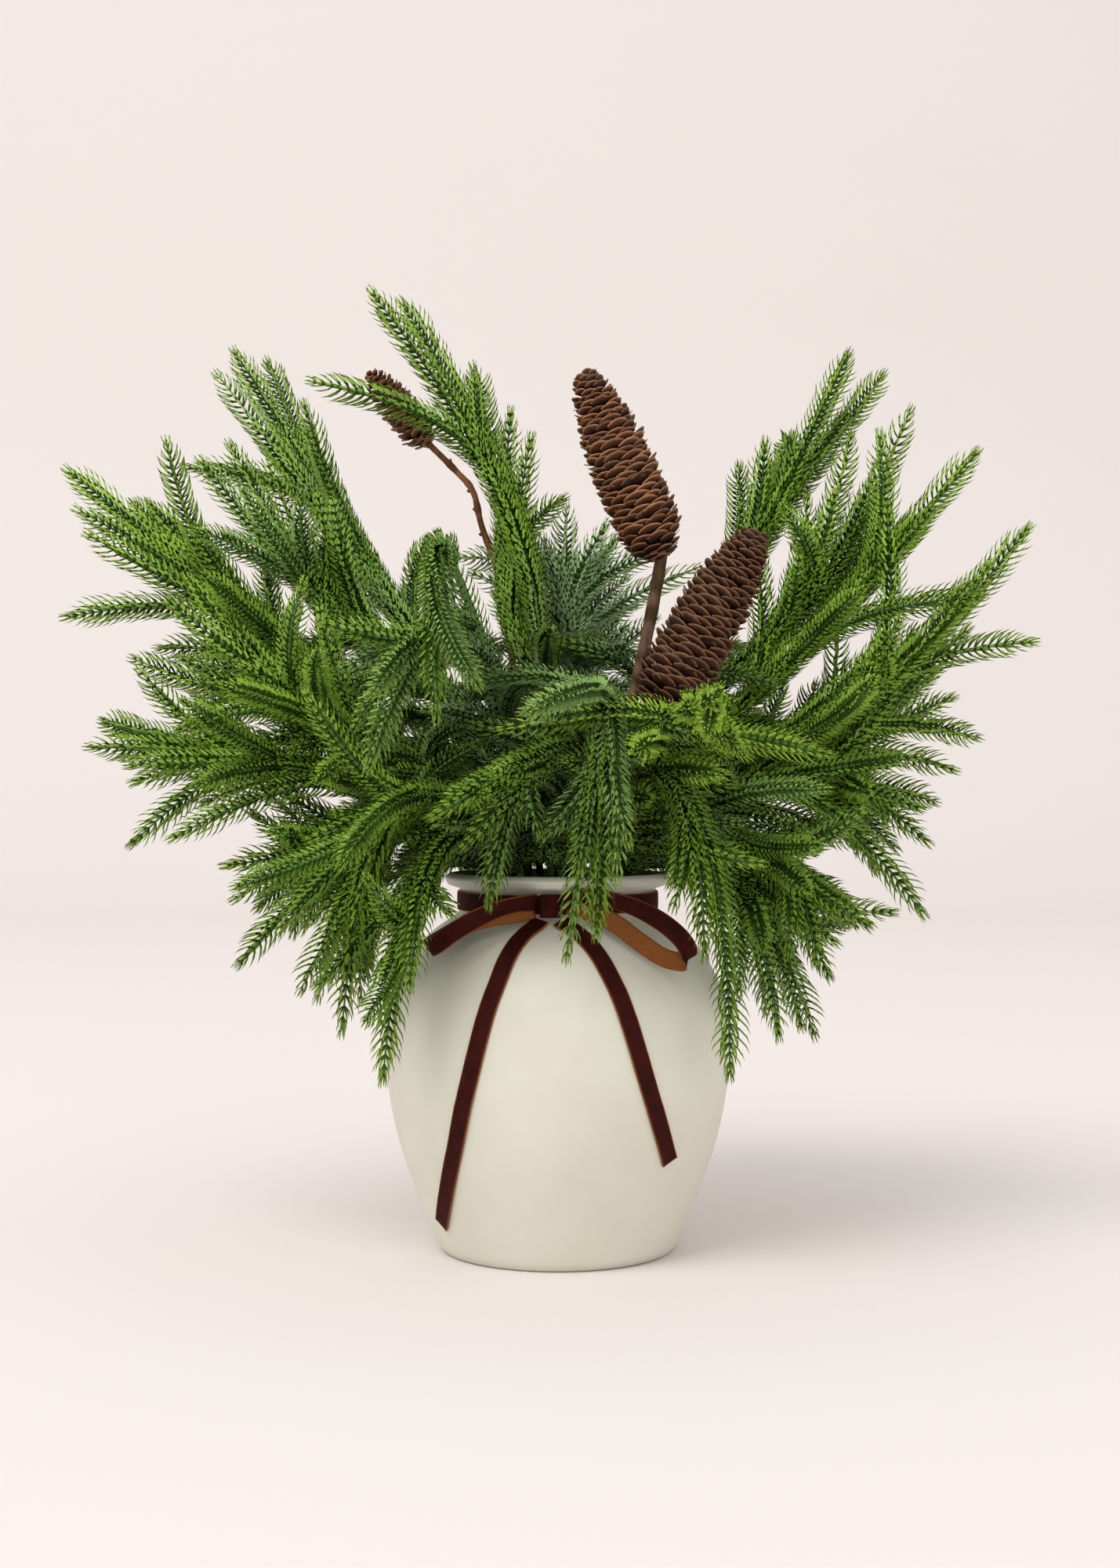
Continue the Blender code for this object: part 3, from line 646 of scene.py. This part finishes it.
# tips over the lip: the share of the stem that they leave, and how far past the lip and above it they end
COLLAR_TIPS = 10
COLLAR_FROM, COLLAR_OVER = 0.06, 0.26
COLLAR_SWING = (-95, 95)
COLLAR_LEAD = 24
COLLAR_FRONT = -0.6
COLLAR_PAST_FRONT = (-20, 0)
COLLAR_PAST = (-10, 46)
COLLAR_HEIGHT = (12, 24)
DROOP = 0.55  # how far a tip sinks for its length past the lip
# tips between a branch's own: where they leave the leader, where between two ends they aim, and how far out
FILLER_START = (0.03, 0.55)
FILLER_BETWEEN = (0.25, 0.75)
FILLER_REACH = (0.62, 0.92)
FILLER_SHAKE = 15
MOST_TURN = math.radians(75)
# tips that part from a leader: where, how far they spread in degrees, and how long they are
FORK_FROM, FORK_OVER = 0.06, 0.52
FORK_SPREAD = (28, 50)
FORK_LENGTH = (85, 120)
FORK_MOST = 0.85  # of the leader that is left
RIM_CLEARANCE = 11
VASE_CLEARANCE = 15
CONE_CLEARANCE = 10
BOW_TOP = 206
BOW_HALF_WIDTH = 76


def needle_mesh(settings):
    """One needle: three-sided, curved forwards and drawn out to a point, with its root at the origin."""
    bm = bmesh.new()
    stations = []
    for share, width, bow in NEEDLE_RINGS:
        place = Matrix.Translation(Vector((bow, 0, share)) * settings.needle_length)
        wide = width * settings.needle_width
        stations.append(sized(place, wide * NEEDLE_DEEP, wide * NEEDLE_BROAD))
    swept(bm, stations, 3, pointed=True)
    bmesh.ops.recalc_face_normals(bm, faces=bm.faces)
    return mesh_of("needle", bm)


def whorl_mesh(needle, settings, lean, rng):
    """The needles that stand round a tip's core at one height."""
    bm = bmesh.new()
    layer = growth_layer(bm)
    for index in range(WHORL_NEEDLES):
        start = len(bm.verts)
        bm.from_mesh(needle)
        bm.verts.ensure_lookup_table()
        new = bm.verts[start:]
        for vert in new:
            vert[layer] = (vert.co.z / settings.needle_length, 0, 0, 1)
        angle = math.radians(lean + rng.uniform(-4, 4))
        place = (
            Matrix.Rotation(math.tau * (index + rng.uniform(-0.1, 0.1)) / WHORL_NEEDLES, 4, "Z")
            @ Matrix.Translation((0.0006, 0, settings.pitch * rng.uniform(-0.12, 0.12)))
            @ Matrix.Rotation(angle, 4, "Y")
            @ Matrix.Scale(rng.uniform(0.9, 1.08), 4)
        )
        bmesh.ops.transform(bm, matrix=place, verts=new)
    return mesh_of("whorl", bm)


class Grower:
    """Grows needled tips into the bmesh of one branch."""

    def __init__(self, settings, tone, seed):
        self.settings = settings
        self.rng = random.Random(seed)
        self.tone = tone
        needle = needle_mesh(settings)
        self.stock = []
        for lean in [lean for lean in LEANS for _ in range(VARIANTS)]:
            mesh = whorl_mesh(needle, settings, lean, self.rng)
            places = [0.0] * (3 * len(mesh.vertices))
            mesh.vertices.foreach_get("co", places)
            self.stock.append((mesh, growth_of(mesh), places))
        bpy.data.meshes.remove(needle)
        self.bm = bmesh.new()
        growth_layer(self.bm)
        self.cores = bmesh.new()

    def add_whorl(self, matrix, lean, tone, reach):
        mesh, flat, places = self.stock[lean * VARIANTS + self.rng.randrange(VARIANTS)]
        mesh.vertices.foreach_set("co", places)
        repaint(mesh, flat, tone, reach)
        mesh.transform(matrix)
        self.bm.from_mesh(mesh)

    def core(self, points, radii, sides=6):
        """The bare tube of a stem or tip."""
        swept(self.cores, tube_stations(points, radii), sides)

    def needles(self, points, first=0.0, full=1.0, tone_shift=0.0):
        """Whorls of needles from a share of the way along the path to its end."""
        rails = [to_metres(matrix) for matrix in rail(points)]
        length = sum((b - a).length for a, b in zip(points, points[1:])) * MM * (1 - first)
        count = max(3, round(length / self.settings.pitch))
        tone = min(1.0, max(0.0, self.tone + tone_shift + self.rng.uniform(-0.12, 0.12)))
        drift = self.rng.uniform(-0.9, 0.9)
        turn = self.rng.uniform(0, math.tau)
        for index in range(count):
            share = index / (count - 1)
            left = (1 - share) * length / self.settings.pitch
            size = full * (0.56 + 0.44 * min(1.0, left / END_WHORLS))
            size *= 0.8 + 0.2 * min(1.0, index / FIRST_WHORLS)
            lean = 0 if left > NEAR_END else 1 if left > AT_END else 2
            matrix = at_share(rails, first + (1 - first) * share)
            matrix = matrix @ Matrix.Rotation(turn + drift * share + self.rng.uniform(-0.1, 0.1), 4, "Z")
            self.add_whorl(matrix @ Matrix.Scale(size, 4), lean, tone, share)

    def finish(self):
        """The branch's bmesh, with its cores added in the second material."""
        for mesh, _, _ in self.stock:
            bpy.data.meshes.remove(mesh)
        bmesh.ops.recalc_face_normals(self.cores, faces=self.cores.faces)
        for face in self.cores.faces:
            face.material_index = 1
        mesh = mesh_of("cores", self.cores)
        self.bm.from_mesh(mesh)
        bpy.data.meshes.remove(mesh)
        return self.bm


def tip_path(start, direction, end):
    """The middle line of a tip, which leaves start in its parent's direction."""
    reach = (Vector(end) - start).length
    return bend(start, start + direction * reach * TIP_PULL, end, PATH_POINTS)


def clear_of_vase(path):
    """Whether a filling tip stays outside the vase and off the bow."""
    for point in path:
        reach = math.hypot(point.x, point.y)
        if point.z < VASE_HEIGHT + RIM_CLEARANCE and reach < vase_radius(max(0.0, point.z)) + VASE_CLEARANCE:
            return False
        if point.z < BOW_TOP and abs(point.x) < BOW_HALF_WIDTH and point.y < -NECK_RADIUS:
            return False
    return True


def clear_of_cones(path):
    """Whether a filling tip leaves the cones in plain view from the front."""
    for _, stem, tip, radius, _ in CONES.values():
        foot, top = Vector((stem[-1][0], stem[-1][2])), Vector((tip[0], tip[2]))
        for point in path:
            flat = Vector((point.x, point.z))
            near, share = geometry.intersect_point_line(flat, foot, top)
            covers = 0.2 < share < 1.1 and (flat - near).length < radius + CONE_CLEARANCE
            if covers and point.y < stem[-1][1] + CONE_CLEARANCE:
                return False
    return True


def main_stem(socket, fork):
    """The middle line of a spray's stem, from its hinge to its fork."""
    pivot = Vector((*socket, PIVOT_HEIGHT))
    rise = Vector((0, 0, (fork[2] - PIVOT_HEIGHT) * 0.45))
    return bend(pivot, pivot + rise, fork, PATH_POINTS)


def side_tips(leader, ends):
    """The side tips that the frame has."""
    paths = []
    step = (LAST_SIDE_TIP - FIRST_SIDE_TIP) / max(1, len(ends) - 1)
    for index, end in enumerate(ends):
        start, direction = along(leader, FIRST_SIDE_TIP + step * index)
        paths.append(tip_path(start, direction, end))
    return paths


def filling_tips(leader, ends, rng):
    """More tips, which end between each two of the branch's own."""
    targets = [leader[-1]] + [Vector(end) for end in ends]
    paths = []
    for a, b in zip(targets, targets[1:] + targets[:1]):
        start, direction = along(leader, rng.uniform(*FILLER_START))
        shake = Vector((rng.uniform(-1, 1), rng.uniform(-1, 1), rng.uniform(-1, 0.6))) * FILLER_SHAKE
        between = a.lerp(b, rng.uniform(*FILLER_BETWEEN))
        end = start.lerp(between, rng.uniform(*FILLER_REACH)) + shake
        if direction.angle(end - start) < MOST_TURN:
            paths.append(tip_path(start, direction, end))
    return [path for path in paths if clear_of_vase(path) and clear_of_cones(path)]


def forked_tips(leader, count, rng):
    """Tips that part from a leader all round it, and fill the space between it and its neighbours."""
    paths = []
    for index in range(count):
        start, direction = along(leader, FORK_FROM + FORK_OVER * index / max(1, count - 1))
        side = direction.orthogonal().normalized()
        side.rotate(Quaternion(direction, index * GOLDEN_ANGLE + rng.uniform(-0.4, 0.4)))
        spread = math.radians(rng.uniform(*FORK_SPREAD))
        heading = direction * math.cos(spread) + side * math.sin(spread)
        length = min(rng.uniform(*FORK_LENGTH), (leader[-1] - start).length * FORK_MOST)
        paths.append(tip_path(start, direction, start + heading * length))
    return [path for path in paths if clear_of_vase(path) and clear_of_cones(path)]


def stem_tips(stem, rng):
    """Short tips that leave a main stem all round, and close the middle of the arrangement."""
    paths = []
    for index in range(STEM_TIPS):
        share = STEM_TIPS_FROM + STEM_TIPS_OVER * index / (STEM_TIPS - 1)
        start, direction = along(stem, share)
        outward = Vector((start.x, start.y, 0)).normalized()
        side = direction.cross(outward).normalized()
        spin = index * GOLDEN_ANGLE + rng.uniform(-0.3, 0.3)
        heading = (outward * (math.cos(spin) + 0.35) + side * math.sin(spin)).normalized()
        length = rng.uniform(0.85, 1.15) * (STEM_TIP_LENGTH + STEM_TIP_GROWTH * share)
        rise = 0.3 + 0.4 * math.sin(math.pi * share)
        end = start + (heading * 0.85 + direction * rise).normalized() * length - Vector((0, 0, length * 0.2))
        path = bend(start, start + (direction + heading * 0.4).normalized() * length * 0.4, end, PATH_POINTS)
        if start.z < STEM_TIPS_TOP and clear_of_vase(path[2:]) and clear_of_cones(path):
            paths.append(path)
    return paths


def collar_tips(stem, rng):
    """Short tips that leave a stem low down, lie out over the vase's lip and close its mouth."""
    paths = []
    for index in range(COLLAR_TIPS):
        start, direction = along(stem, COLLAR_FROM + COLLAR_OVER * index / COLLAR_TIPS)
        outward = Vector((start.x, start.y, 0)).normalized()
        outward.rotate(Quaternion((0, 0, 1), math.radians(rng.uniform(*COLLAR_SWING))))
        past_lip = rng.uniform(*(COLLAR_PAST_FRONT if outward.y < COLLAR_FRONT else COLLAR_PAST))
        height = VASE_HEIGHT + rng.uniform(*COLLAR_HEIGHT) - DROOP * max(0.0, past_lip)
        end = outward * (LIP_RADIUS + past_lip) + Vector((0, 0, height))
        path = bend(start, start + (direction + outward).normalized() * COLLAR_LEAD, end, PATH_POINTS)
        if clear_of_cones(path):
            paths.append(path)
    return paths


def grow_branch(name, spray, stem, own_start, own_direction, ends, settings, with_stem):
    """Makes the piece of one branch. A spray's first branch has the main stem too."""
    rng = random.Random(name)
    grower = Grower(settings, FRESH_BRANCHES.get(name, TONES[spray]), name + "_needles")
    leader = tip_path(own_start, own_direction, ends[0])
    if with_stem:
        lower = [stem[0] - Vector((0, 0, WIRE_RADIUS))] + stem
        grower.core(lower, [WIRE_RADIUS * 0.6] + [WIRE_RADIUS] * len(stem), 10)
        grower.needles(stem, 0.06, 0.9, INNER_TONE)
        for path in stem_tips(stem, rng) + collar_tips(stem, rng):
            grower.core(path, SHORT_CORE, 5)
            grower.needles(path, 0.05, 0.95, INNER_TONE)
    grower.core(leader, LEADER_CORE)
    grower.needles(leader)
    for path in side_tips(leader, ends[1:]):
        grower.core(path, SIDE_CORE, 5)
        grower.needles(path, 0.04)
    for path in filling_tips(leader, ends[1:], rng) + forked_tips(leader, FORKS[spray], rng):
        grower.core(path, FILLER_CORE, 5)
        grower.needles(path, 0.06, 0.95)
    materials = [material_once("needle_green", needle_material), material_once("core_green", core_material)]
    add_piece(name + "_needles", grower.finish(), materials, spray, name)


class TREE_OT_sprays(bpy.types.Operator):
    """Grows the needled tips of every spray on its wires"""

    bl_idname = "tree.sprays"
    bl_label = "Needled sprays"

    def execute(self, context):
        settings = context.scene.tree_sprays
        for spray, (socket, fork, branches) in SPRAYS.items():
            stem = main_stem(socket, fork)
            for index, ends in enumerate(branches):
                if index == 0:
                    start, direction = stem[-1], (stem[-1] - stem[-2]).normalized()
                else:
                    root, heading = along(stem, SIDE_BRANCH_STARTS[index - 1])
                    away = Vector(ends[0]) - root
                    away = (away - heading * away.dot(heading)).normalized()
                    start = root + away * (WIRE_RADIUS + TWIG_RADIUS + STEM_GAP)
                    direction = (away + heading * 0.8).normalized()
                name = f"{spray}_branch_{'abc'[index]}"
                grow_branch(name, spray, stem, start, direction, ends, settings, index == 0)
            paint_node(f"{spray}_leg", material_once("stem_wrap", wrap_material))
        return {"FINISHED"}


# ---- cones ------------------------------------------------------------------------------------------
CONE_SHADE_AND_TONE = {"tall_cone": 1.0, "leaning_cone": 0.25, "small_cone": 1.0}  # how light the lightest scales are; the leaning cone's low value is painted shade that darkens it all over
SCALE_ROOT = 0.36  # where a scale starts, as a share of the cone's radius
SCALE_REACH = 1.04
SCALE_THICKNESS = 0.026
FULLEST = 0.14  # where a cone is fullest, as a share of its length
SMALL_CONE = 15  # cones with a smaller radius are young, and have fewer scales and a gnarled twig
# where a ring of a cone's core lies, as a share of the cone's length, and its share of the cone's radius
CONE_CORE = ((0.0, 0.3), (0.04, 0.42), (0.2, 0.5), (0.5, 0.48), (0.8, 0.38), (0.92, 0.2))
KNOB = ((0.0, 1.1), (1.2, 1.0), (2.4, 1.15), (3.3, 0.7), (3.8, 0.2))  # height and radius of a twig's stub
KNOB_LEAN = math.radians(58)


def scale_mesh(radius):
    """A broad, thin scale. It starts near the cone's axis, Z, opens along X and wraps round the cone."""
    bm = bmesh.new()
    layer = growth_layer(bm)
    bmesh.ops.create_grid(bm, x_segments=2, y_segments=5, size=0.5)
    for vert in bm.verts:
        out, side = vert.co.x + 0.5, vert.co.y * 2
        spread = math.radians(9 + 17 * math.sin(math.pi * min(1.0, 0.1 + 0.55 * out)))
        reach = radius * (SCALE_ROOT + (SCALE_REACH - SCALE_ROOT) * out - 0.09 * side * side * out)
        rise = radius * (0.20 * out + 0.14 * out * out - 0.10 * side * side * out)
        vert.co = (reach * math.cos(spread * side), reach * math.sin(spread * side), rise)
        # the reach channel runs up to 1 along the side edges of the scale's outer half, so the edge brown,
        # partly a painted highlight, goes round its rim
        vert[layer] = (max(out, 0.5 + 0.5 * abs(side) ** 3) if out > 0.5 else out, 0, 0, 1)
    bmesh.ops.solidify(bm, geom=bm.faces[:], thickness=radius * SCALE_THICKNESS)
    bmesh.ops.recalc_face_normals(bm, faces=bm.faces)
    return mesh_of("scale", bm)


def cone_radius(share):
    """How full a cone is along its length, 1 at its fullest."""
    if share < FULLEST:
        return 0.58 + 0.42 * math.sin(math.pi / 2 * share / FULLEST)
    return 1.0 - 0.56 * ((share - FULLEST) / (1 - FULLEST)) ** 3.2


class TREE_OT_cones(bpy.types.Operator):
    """Sets the scales of the spruce cones in their spirals, and makes their stems"""

    bl_idname = "tree.cones"
    bl_label = "Spruce cones"

    def scales(self, name, foot, tip, radius, count, youth, tone):
        """The scales in their spiral, each a little askew, round a dark core."""
        rng = random.Random(name)
        heading = (tip - foot).normalized()
        length = (tip - foot).length * MM
        radius *= MM
        turn = heading.to_track_quat("Z", "Y").to_matrix().to_4x4()
        base = Matrix.Translation(foot * MM) @ turn
        template = scale_mesh(radius)
        flat = growth_of(template)
        bm = bmesh.new()
        growth_layer(bm)
        last = length - radius * 0.5 * cone_radius(1.0)
        for index in range(count):
            share = index / (count - 1)
            full = cone_radius(share)
            tipward = max(0.0, (share - 0.9) / 0.1)
            opened = math.radians(16 * max(0.0, 1 - share / 0.1) - 4 - 30 * tipward)
            root = Matrix.Translation((radius * full * SCALE_ROOT, 0, 0))
            place = (
                base
                @ Matrix.Translation((0, 0, last * share))
                @ Matrix.Rotation(index * GOLDEN_ANGLE + rng.uniform(-0.08, 0.08), 4, "Z")
                @ root
                @ Matrix.Rotation(opened + rng.uniform(-0.12, 0.12), 4, "Y")
                @ root.inverted()
                @ Matrix.Scale(full * rng.uniform(0.92, 1.05), 4)
            )
            mesh = template.copy()
            # the green channel: a random share of the cone's value, which for the leaning cone is painted
            # shade
            repaint(mesh, flat, rng.random() * tone, youth)
            mesh.transform(place)
            bm.from_mesh(mesh)
            bpy.data.meshes.remove(mesh)
        bpy.data.meshes.remove(template)
        core = [sized(base @ Matrix.Translation((0, 0, length * s)), radius * w) for s, w in CONE_CORE]
        # the core tube takes the same painted-shade brown
        swept(bm, core, 20)
        brown = material_once("cone_brown", scale_material)
        add_piece(name + "_scales", bm, [brown], name, name)

    def stem(self, name, points, radius, gnarled):
        """The stem, or the knobbly twig with its stubs."""
        rng = random.Random(name + "_stem")
        route = smooth_route(points, 8)
        route.insert(0, route[0] - Vector((0, 0, radius * 0.8)))
        radii = [radius * 0.6]
        for index in range(1, len(route)):
            ripple = 0.22 * max(0.0, math.sin(index * 0.9)) ** 3 if gnarled else 0.04 * math.sin(index * 1.7)
            radii.append(radius * (1.0 + ripple + rng.uniform(-0.03, 0.03)))
        bm = bmesh.new()
        swept(bm, tube_stations(route, radii), 16)
        if gnarled:
            for index in range(6, len(route) - 3, 5):
                matrix = rail(route)[index] @ Matrix.Rotation(rng.uniform(0, math.tau), 4, "Z")
                stub = to_metres(matrix) @ Matrix.Rotation(KNOB_LEAN, 4, "Y")
                swept(bm, [sized(stub @ Matrix.Translation((0, 0, z * MM)), r * MM) for z, r in KNOB], 8)
        bmesh.ops.recalc_face_normals(bm, faces=bm.faces)
        plain = material_once("stem_wrap_brown", stem_material)
        bark = material_once("twig_bark", twig_material) if gnarled else plain
        add_piece(name + "_bark", bm, [bark], name, name + "_stem")

    def execute(self, context):
        settings = context.scene.tree_cones
        for name, (socket, points, tip, radius, stem_radius) in CONES.items():
            foot, tip = Vector(points[-1]), Vector(tip)
            small = radius < SMALL_CONE
            count = settings.scales * 2 // 5 if small else settings.scales
            self.scales(name, foot, tip, radius, count, float(small), CONE_SHADE_AND_TONE[name])
            inside = foot + (tip - foot).normalized() * 6
            self.stem(name, [(*socket, PIVOT_HEIGHT)] + points + [inside], stem_radius, small)
            paint_node(f"{name}_leg", material_once("stem_wrap_brown", stem_material))
        return {"FINISHED"}


# ---- ribbon -----------------------------------------------------------------------------------------
ACROSS = 8  # faces across the ribbon
PER_STATION = 6
PER_TAIL_STATION = 5
BAND_STEPS = 96
KNOT_SIZE = (11.5, 6.4, 12.4)
KNOT_EDGE = 1.3


def on_vase(angle, height, off):
    """The point off the vase's side, at an angle round from the front in degrees."""
    reach = vase_radius(height) + off
    turn = math.radians(angle)
    return Vector((reach * math.sin(turn), -reach * math.cos(turn), height))


def ribbon(node, route, widths, settings, closed=False):
    """A strip of ribbon along the route: velvet on the side that faces away from the vase at its root."""
    bm = bmesh.new()
    layer = growth_layer(bm)
    rows = []
    count = len(route)
    for index, (point, width) in enumerate(zip(route, widths)):
        after = route[(index + 1) % count] if closed else route[min(index + 1, count - 1)]
        before = route[index - 1] if closed else route[max(index - 1, 0)]
        run = (after - before).normalized()
        across = (width - run * width.dot(run)).normalized()
        face = run.cross(across)
        rows.append((point, across, face))
    half = settings.width / 2
    first = last = None
    for point, across, face in rows:
        new = []
        for step in range(ACROSS + 1):
            side = step / ACROSS * 2 - 1
            crown = settings.thickness * 0.25 * (1 - side ** 4)
            vert = bm.verts.new(point * MM + across * half * side + face * crown)
            vert[layer] = (abs(side), 0, 0, 1)
            new.append(vert)
        edges = [bm.edges.new(pair) for pair in zip(new, new[1:])]
        if last:
            bmesh.ops.bridge_loops(bm, edges=last + edges)
        last = edges
        first = first or edges
    if closed:
        bmesh.ops.bridge_loops(bm, edges=last + first)
    bmesh.ops.recalc_face_normals(bm, faces=bm.faces)
    bm.faces.ensure_lookup_table()
    root = bm.faces[0]
    if root.normal.xy.dot(root.calc_center_median().xy) < 0:
        bmesh.ops.reverse_faces(bm, faces=bm.faces[:])
    velvet = material_once("velvet_pile", velvet_material)
    back = material_once("ribbon_back", ribbon_back_material)
    piece = add_piece(node + "_velvet", bm, [velvet, back], ROOT, node)
    solidify = piece.modifiers.new("thickness", "SOLIDIFY")
    solidify.thickness = settings.thickness
    solidify.offset = 0.0
    solidify.material_offset = 1
    solidify.material_offset_rim = 1


class TREE_OT_ribbon(bpy.types.Operator):
    """Ties the velvet ribbon: the band, the knot, two loops and two tails"""

    bl_idname = "tree.ribbon"
    bl_label = "Velvet ribbon"

    def loop(self, name, stations, settings):
        route = smooth_route([place for place, _ in stations], PER_STATION)
        widths = smooth_route([width for _, width in stations], PER_STATION)
        ribbon(name, route, widths, settings)

    def tail(self, name, stations, settings):
        route = smooth_route([on_vase(*station) for station in stations], PER_TAIL_STATION)
        widths = []
        for index, point in enumerate(route):
            run = route[min(index + 1, len(route) - 1)] - route[max(index - 1, 0)]
            slope = (vase_radius(point.z + 1) - vase_radius(point.z - 1)) / 2
            outward = Vector((point.x, point.y, 0)).normalized() - Vector((0, 0, slope))
            widths.append(run.cross(outward))
        ribbon(name, route, widths, settings)

    def execute(self, context):
        settings = context.scene.tree_ribbon
        self.loop("bow_loop_right", RIGHT_LOOP, settings)
        self.loop("bow_loop_left", LEFT_LOOP, settings)
        self.tail("ribbon_tail_left", LEFT_TAIL, settings)
        self.tail("ribbon_tail_right", RIGHT_TAIL, settings)
        self.band(settings)
        self.knot()
        return {"FINISHED"}

    def band(self, settings):
        reach = NECK_RADIUS + STEM_GAP + settings.thickness / MM / 2
        turns = [math.tau * index / BAND_STEPS for index in range(BAND_STEPS)]
        ring = [Vector((reach * math.sin(turn), -reach * math.cos(turn), BAND_HEIGHT)) for turn in turns]
        ribbon("ribbon_band", ring, [Vector((0, 0, 1))] * BAND_STEPS, settings, closed=True)

    def knot(self):
        """One turn of the ribbon, pinched to a soft block in the middle of the bow."""
        width, interior_shade, height = KNOT_SIZE
        bm = bmesh.new()
        layer = growth_layer(bm)
        bmesh.ops.create_cube(bm, size=1.0)
        bmesh.ops.subdivide_edges(bm, edges=bm.edges[:], cuts=5, use_grid_fill=True)
        for vert in bm.verts:
            x, y, z = vert.co
            pinch = 1.0 - 0.18 * math.cos(z * math.pi) ** 2
            fold = 0.05 * math.cos(x * 16.0) * abs(y)
            vert.co = (x * width * pinch, y * interior_shade * (1 + fold) * (1.1 - x ** 2), z * height)
            vert[layer] = (0.3, 0, 0, 1)
        sharp = [edge for edge in bm.edges if edge.calc_face_angle(0) > 1.0]
        rounding = {"segments": 3, "profile": 0.5, "affect": "EDGES", "material": -1, "clamp_overlap": True}
        bmesh.ops.bevel(bm, geom=sharp, offset=KNOT_EDGE, **rounding)
        axes = {"use_axis_x": True, "use_axis_y": True, "use_axis_z": True}
        bmesh.ops.smooth_vert(bm, verts=bm.verts, factor=0.5, **axes)
        bmesh.ops.transform(bm, matrix=Matrix.Scale(MM, 4) @ Matrix.Translation(KNOT_CENTRE), verts=bm.verts)
        bmesh.ops.recalc_face_normals(bm, faces=bm.faces)
        velvet = material_once("velvet_pile", velvet_material)
        add_piece("bow_knot_velvet", bm, [velvet], ROOT, "bow_knot")


# ---- stage ------------------------------------------------------------------------------------------
CAMERA_PLACE = (0.0013, -1.20, 0.2596)
SENSOR = 36.0
LENS = 49.09
SWEEP_LEFT, SWEEP_WIDTH = -6, 12
SWEEP_FRONT, SWEEP_BACK, SWEEP_TOP = -4, 4.5, 5
SWEEP_BEND = 1.5
AIM = Vector((0, 0, 0.25))
SKY_COLOUR = (1.0, 0.985, 0.97, 1)


class TREE_OT_stage(bpy.types.Operator):
    """Sets up the camera, the pale floor that sweeps up behind, and soft studio light"""

    bl_idname = "tree.stage"
    bl_label = "Stage"

    def execute(self, context):
        settings = context.scene.tree_stage
        camera = add_object("camera", bpy.data.cameras.new("camera"))
        camera.location = CAMERA_PLACE
        camera.rotation_euler = (math.pi / 2, 0, 0)
        camera.data.sensor_width = SENSOR
        camera.data.lens = LENS
        camera.data.clip_end = 50
        context.scene.camera = camera
        self.sweep()
        self.light("key", (-3.0, -3.8, 6.2), 4.4, settings.key_power)
        self.light("fill", (1.9, -3.6, 1.2), 2.4, settings.fill_power)
        world = bpy.data.worlds.new("studio")
        context.scene.world = world
        world.use_nodes = True
        sky = world.node_tree.nodes["Background"]
        sky.inputs["Color"].default_value = SKY_COLOUR
        sky.inputs["Strength"].default_value = settings.sky
        context.scene.view_settings.view_transform = "Standard"
        return {"FINISHED"}

    def sweep(self):
        """The floor, which bends up behind into a backdrop."""
        bm = bmesh.new()
        profile = [(SWEEP_FRONT, 0)]
        for index in range(9):
            turn = index * math.pi / 16
            y = SWEEP_BACK - SWEEP_BEND + SWEEP_BEND * math.sin(turn)
            profile.append((y, SWEEP_BEND - SWEEP_BEND * math.cos(turn)))
        profile.append((SWEEP_BACK, SWEEP_TOP))
        points = [bm.verts.new((SWEEP_LEFT, y, z)) for y, z in profile]
        edges = [bm.edges.new(pair) for pair in zip(points, points[1:])]
        made = bmesh.ops.extrude_edge_only(bm, edges=edges)["geom"]
        moved = [item for item in made if isinstance(item, bmesh.types.BMVert)]
        bmesh.ops.translate(bm, vec=(SWEEP_WIDTH, 0, 0), verts=moved)
        bmesh.ops.recalc_face_normals(bm, faces=bm.faces)
        mesh = mesh_of("sweep", bm)
        mesh.shade_smooth()
        mesh.materials.append(material_once("floor_pale", floor_material))
        add_object("sweep", mesh)

    def light(self, name, place, size, power):
        data = bpy.data.lights.new(name, "AREA")
        data.size = size
        data.energy = power
        lamp = add_object(name, data)
        lamp.location = place
        lamp.rotation_euler = (AIM - Vector(place)).to_track_quat("-Z", "Y").to_euler()


class TREE_PT_panel(bpy.types.Panel):
    """Lists the tree's sizes, colours and makers"""

    bl_label = "Tabletop Tree"
    bl_idname = "TREE_PT_panel"
    bl_space_type = "VIEW_3D"
    bl_region_type = "UI"
    bl_category = "Tabletop Tree"

    def draw(self, context):
        for group, operator in GROUPS.items():
            box = self.layout.box()
            settings = getattr(context.scene, group)
            for name in type(settings).__annotations__:
                box.prop(settings, name)
            box.operator(operator.bl_idname)


SETTINGS = {
    "tree_vase": VaseSettings,
    "tree_sprays": SpraySettings,
    "tree_cones": ConeSettings,
    "tree_ribbon": RibbonSettings,
    "tree_stage": StageSettings,
}
GROUPS = {
    "tree_vase": TREE_OT_vase,
    "tree_sprays": TREE_OT_sprays,
    "tree_cones": TREE_OT_cones,
    "tree_ribbon": TREE_OT_ribbon,
    "tree_stage": TREE_OT_stage,
}
CLASSES = (*SETTINGS.values(), *GROUPS.values(), TREE_PT_panel)


def register():
    for made in CLASSES:
        bpy.utils.register_class(made)
    for name, settings in SETTINGS.items():
        setattr(bpy.types.Scene, name, PointerProperty(type=settings))


def unregister():
    for name in SETTINGS:
        delattr(bpy.types.Scene, name)
    for made in reversed(CLASSES):
        bpy.utils.unregister_class(made)


def main():
    register()
    bpy.ops.tree.vase()
    bpy.ops.tree.sprays()
    bpy.ops.tree.cones()
    bpy.ops.tree.ribbon()
    bpy.ops.tree.stage()


if __name__ == "__main__":
    main()
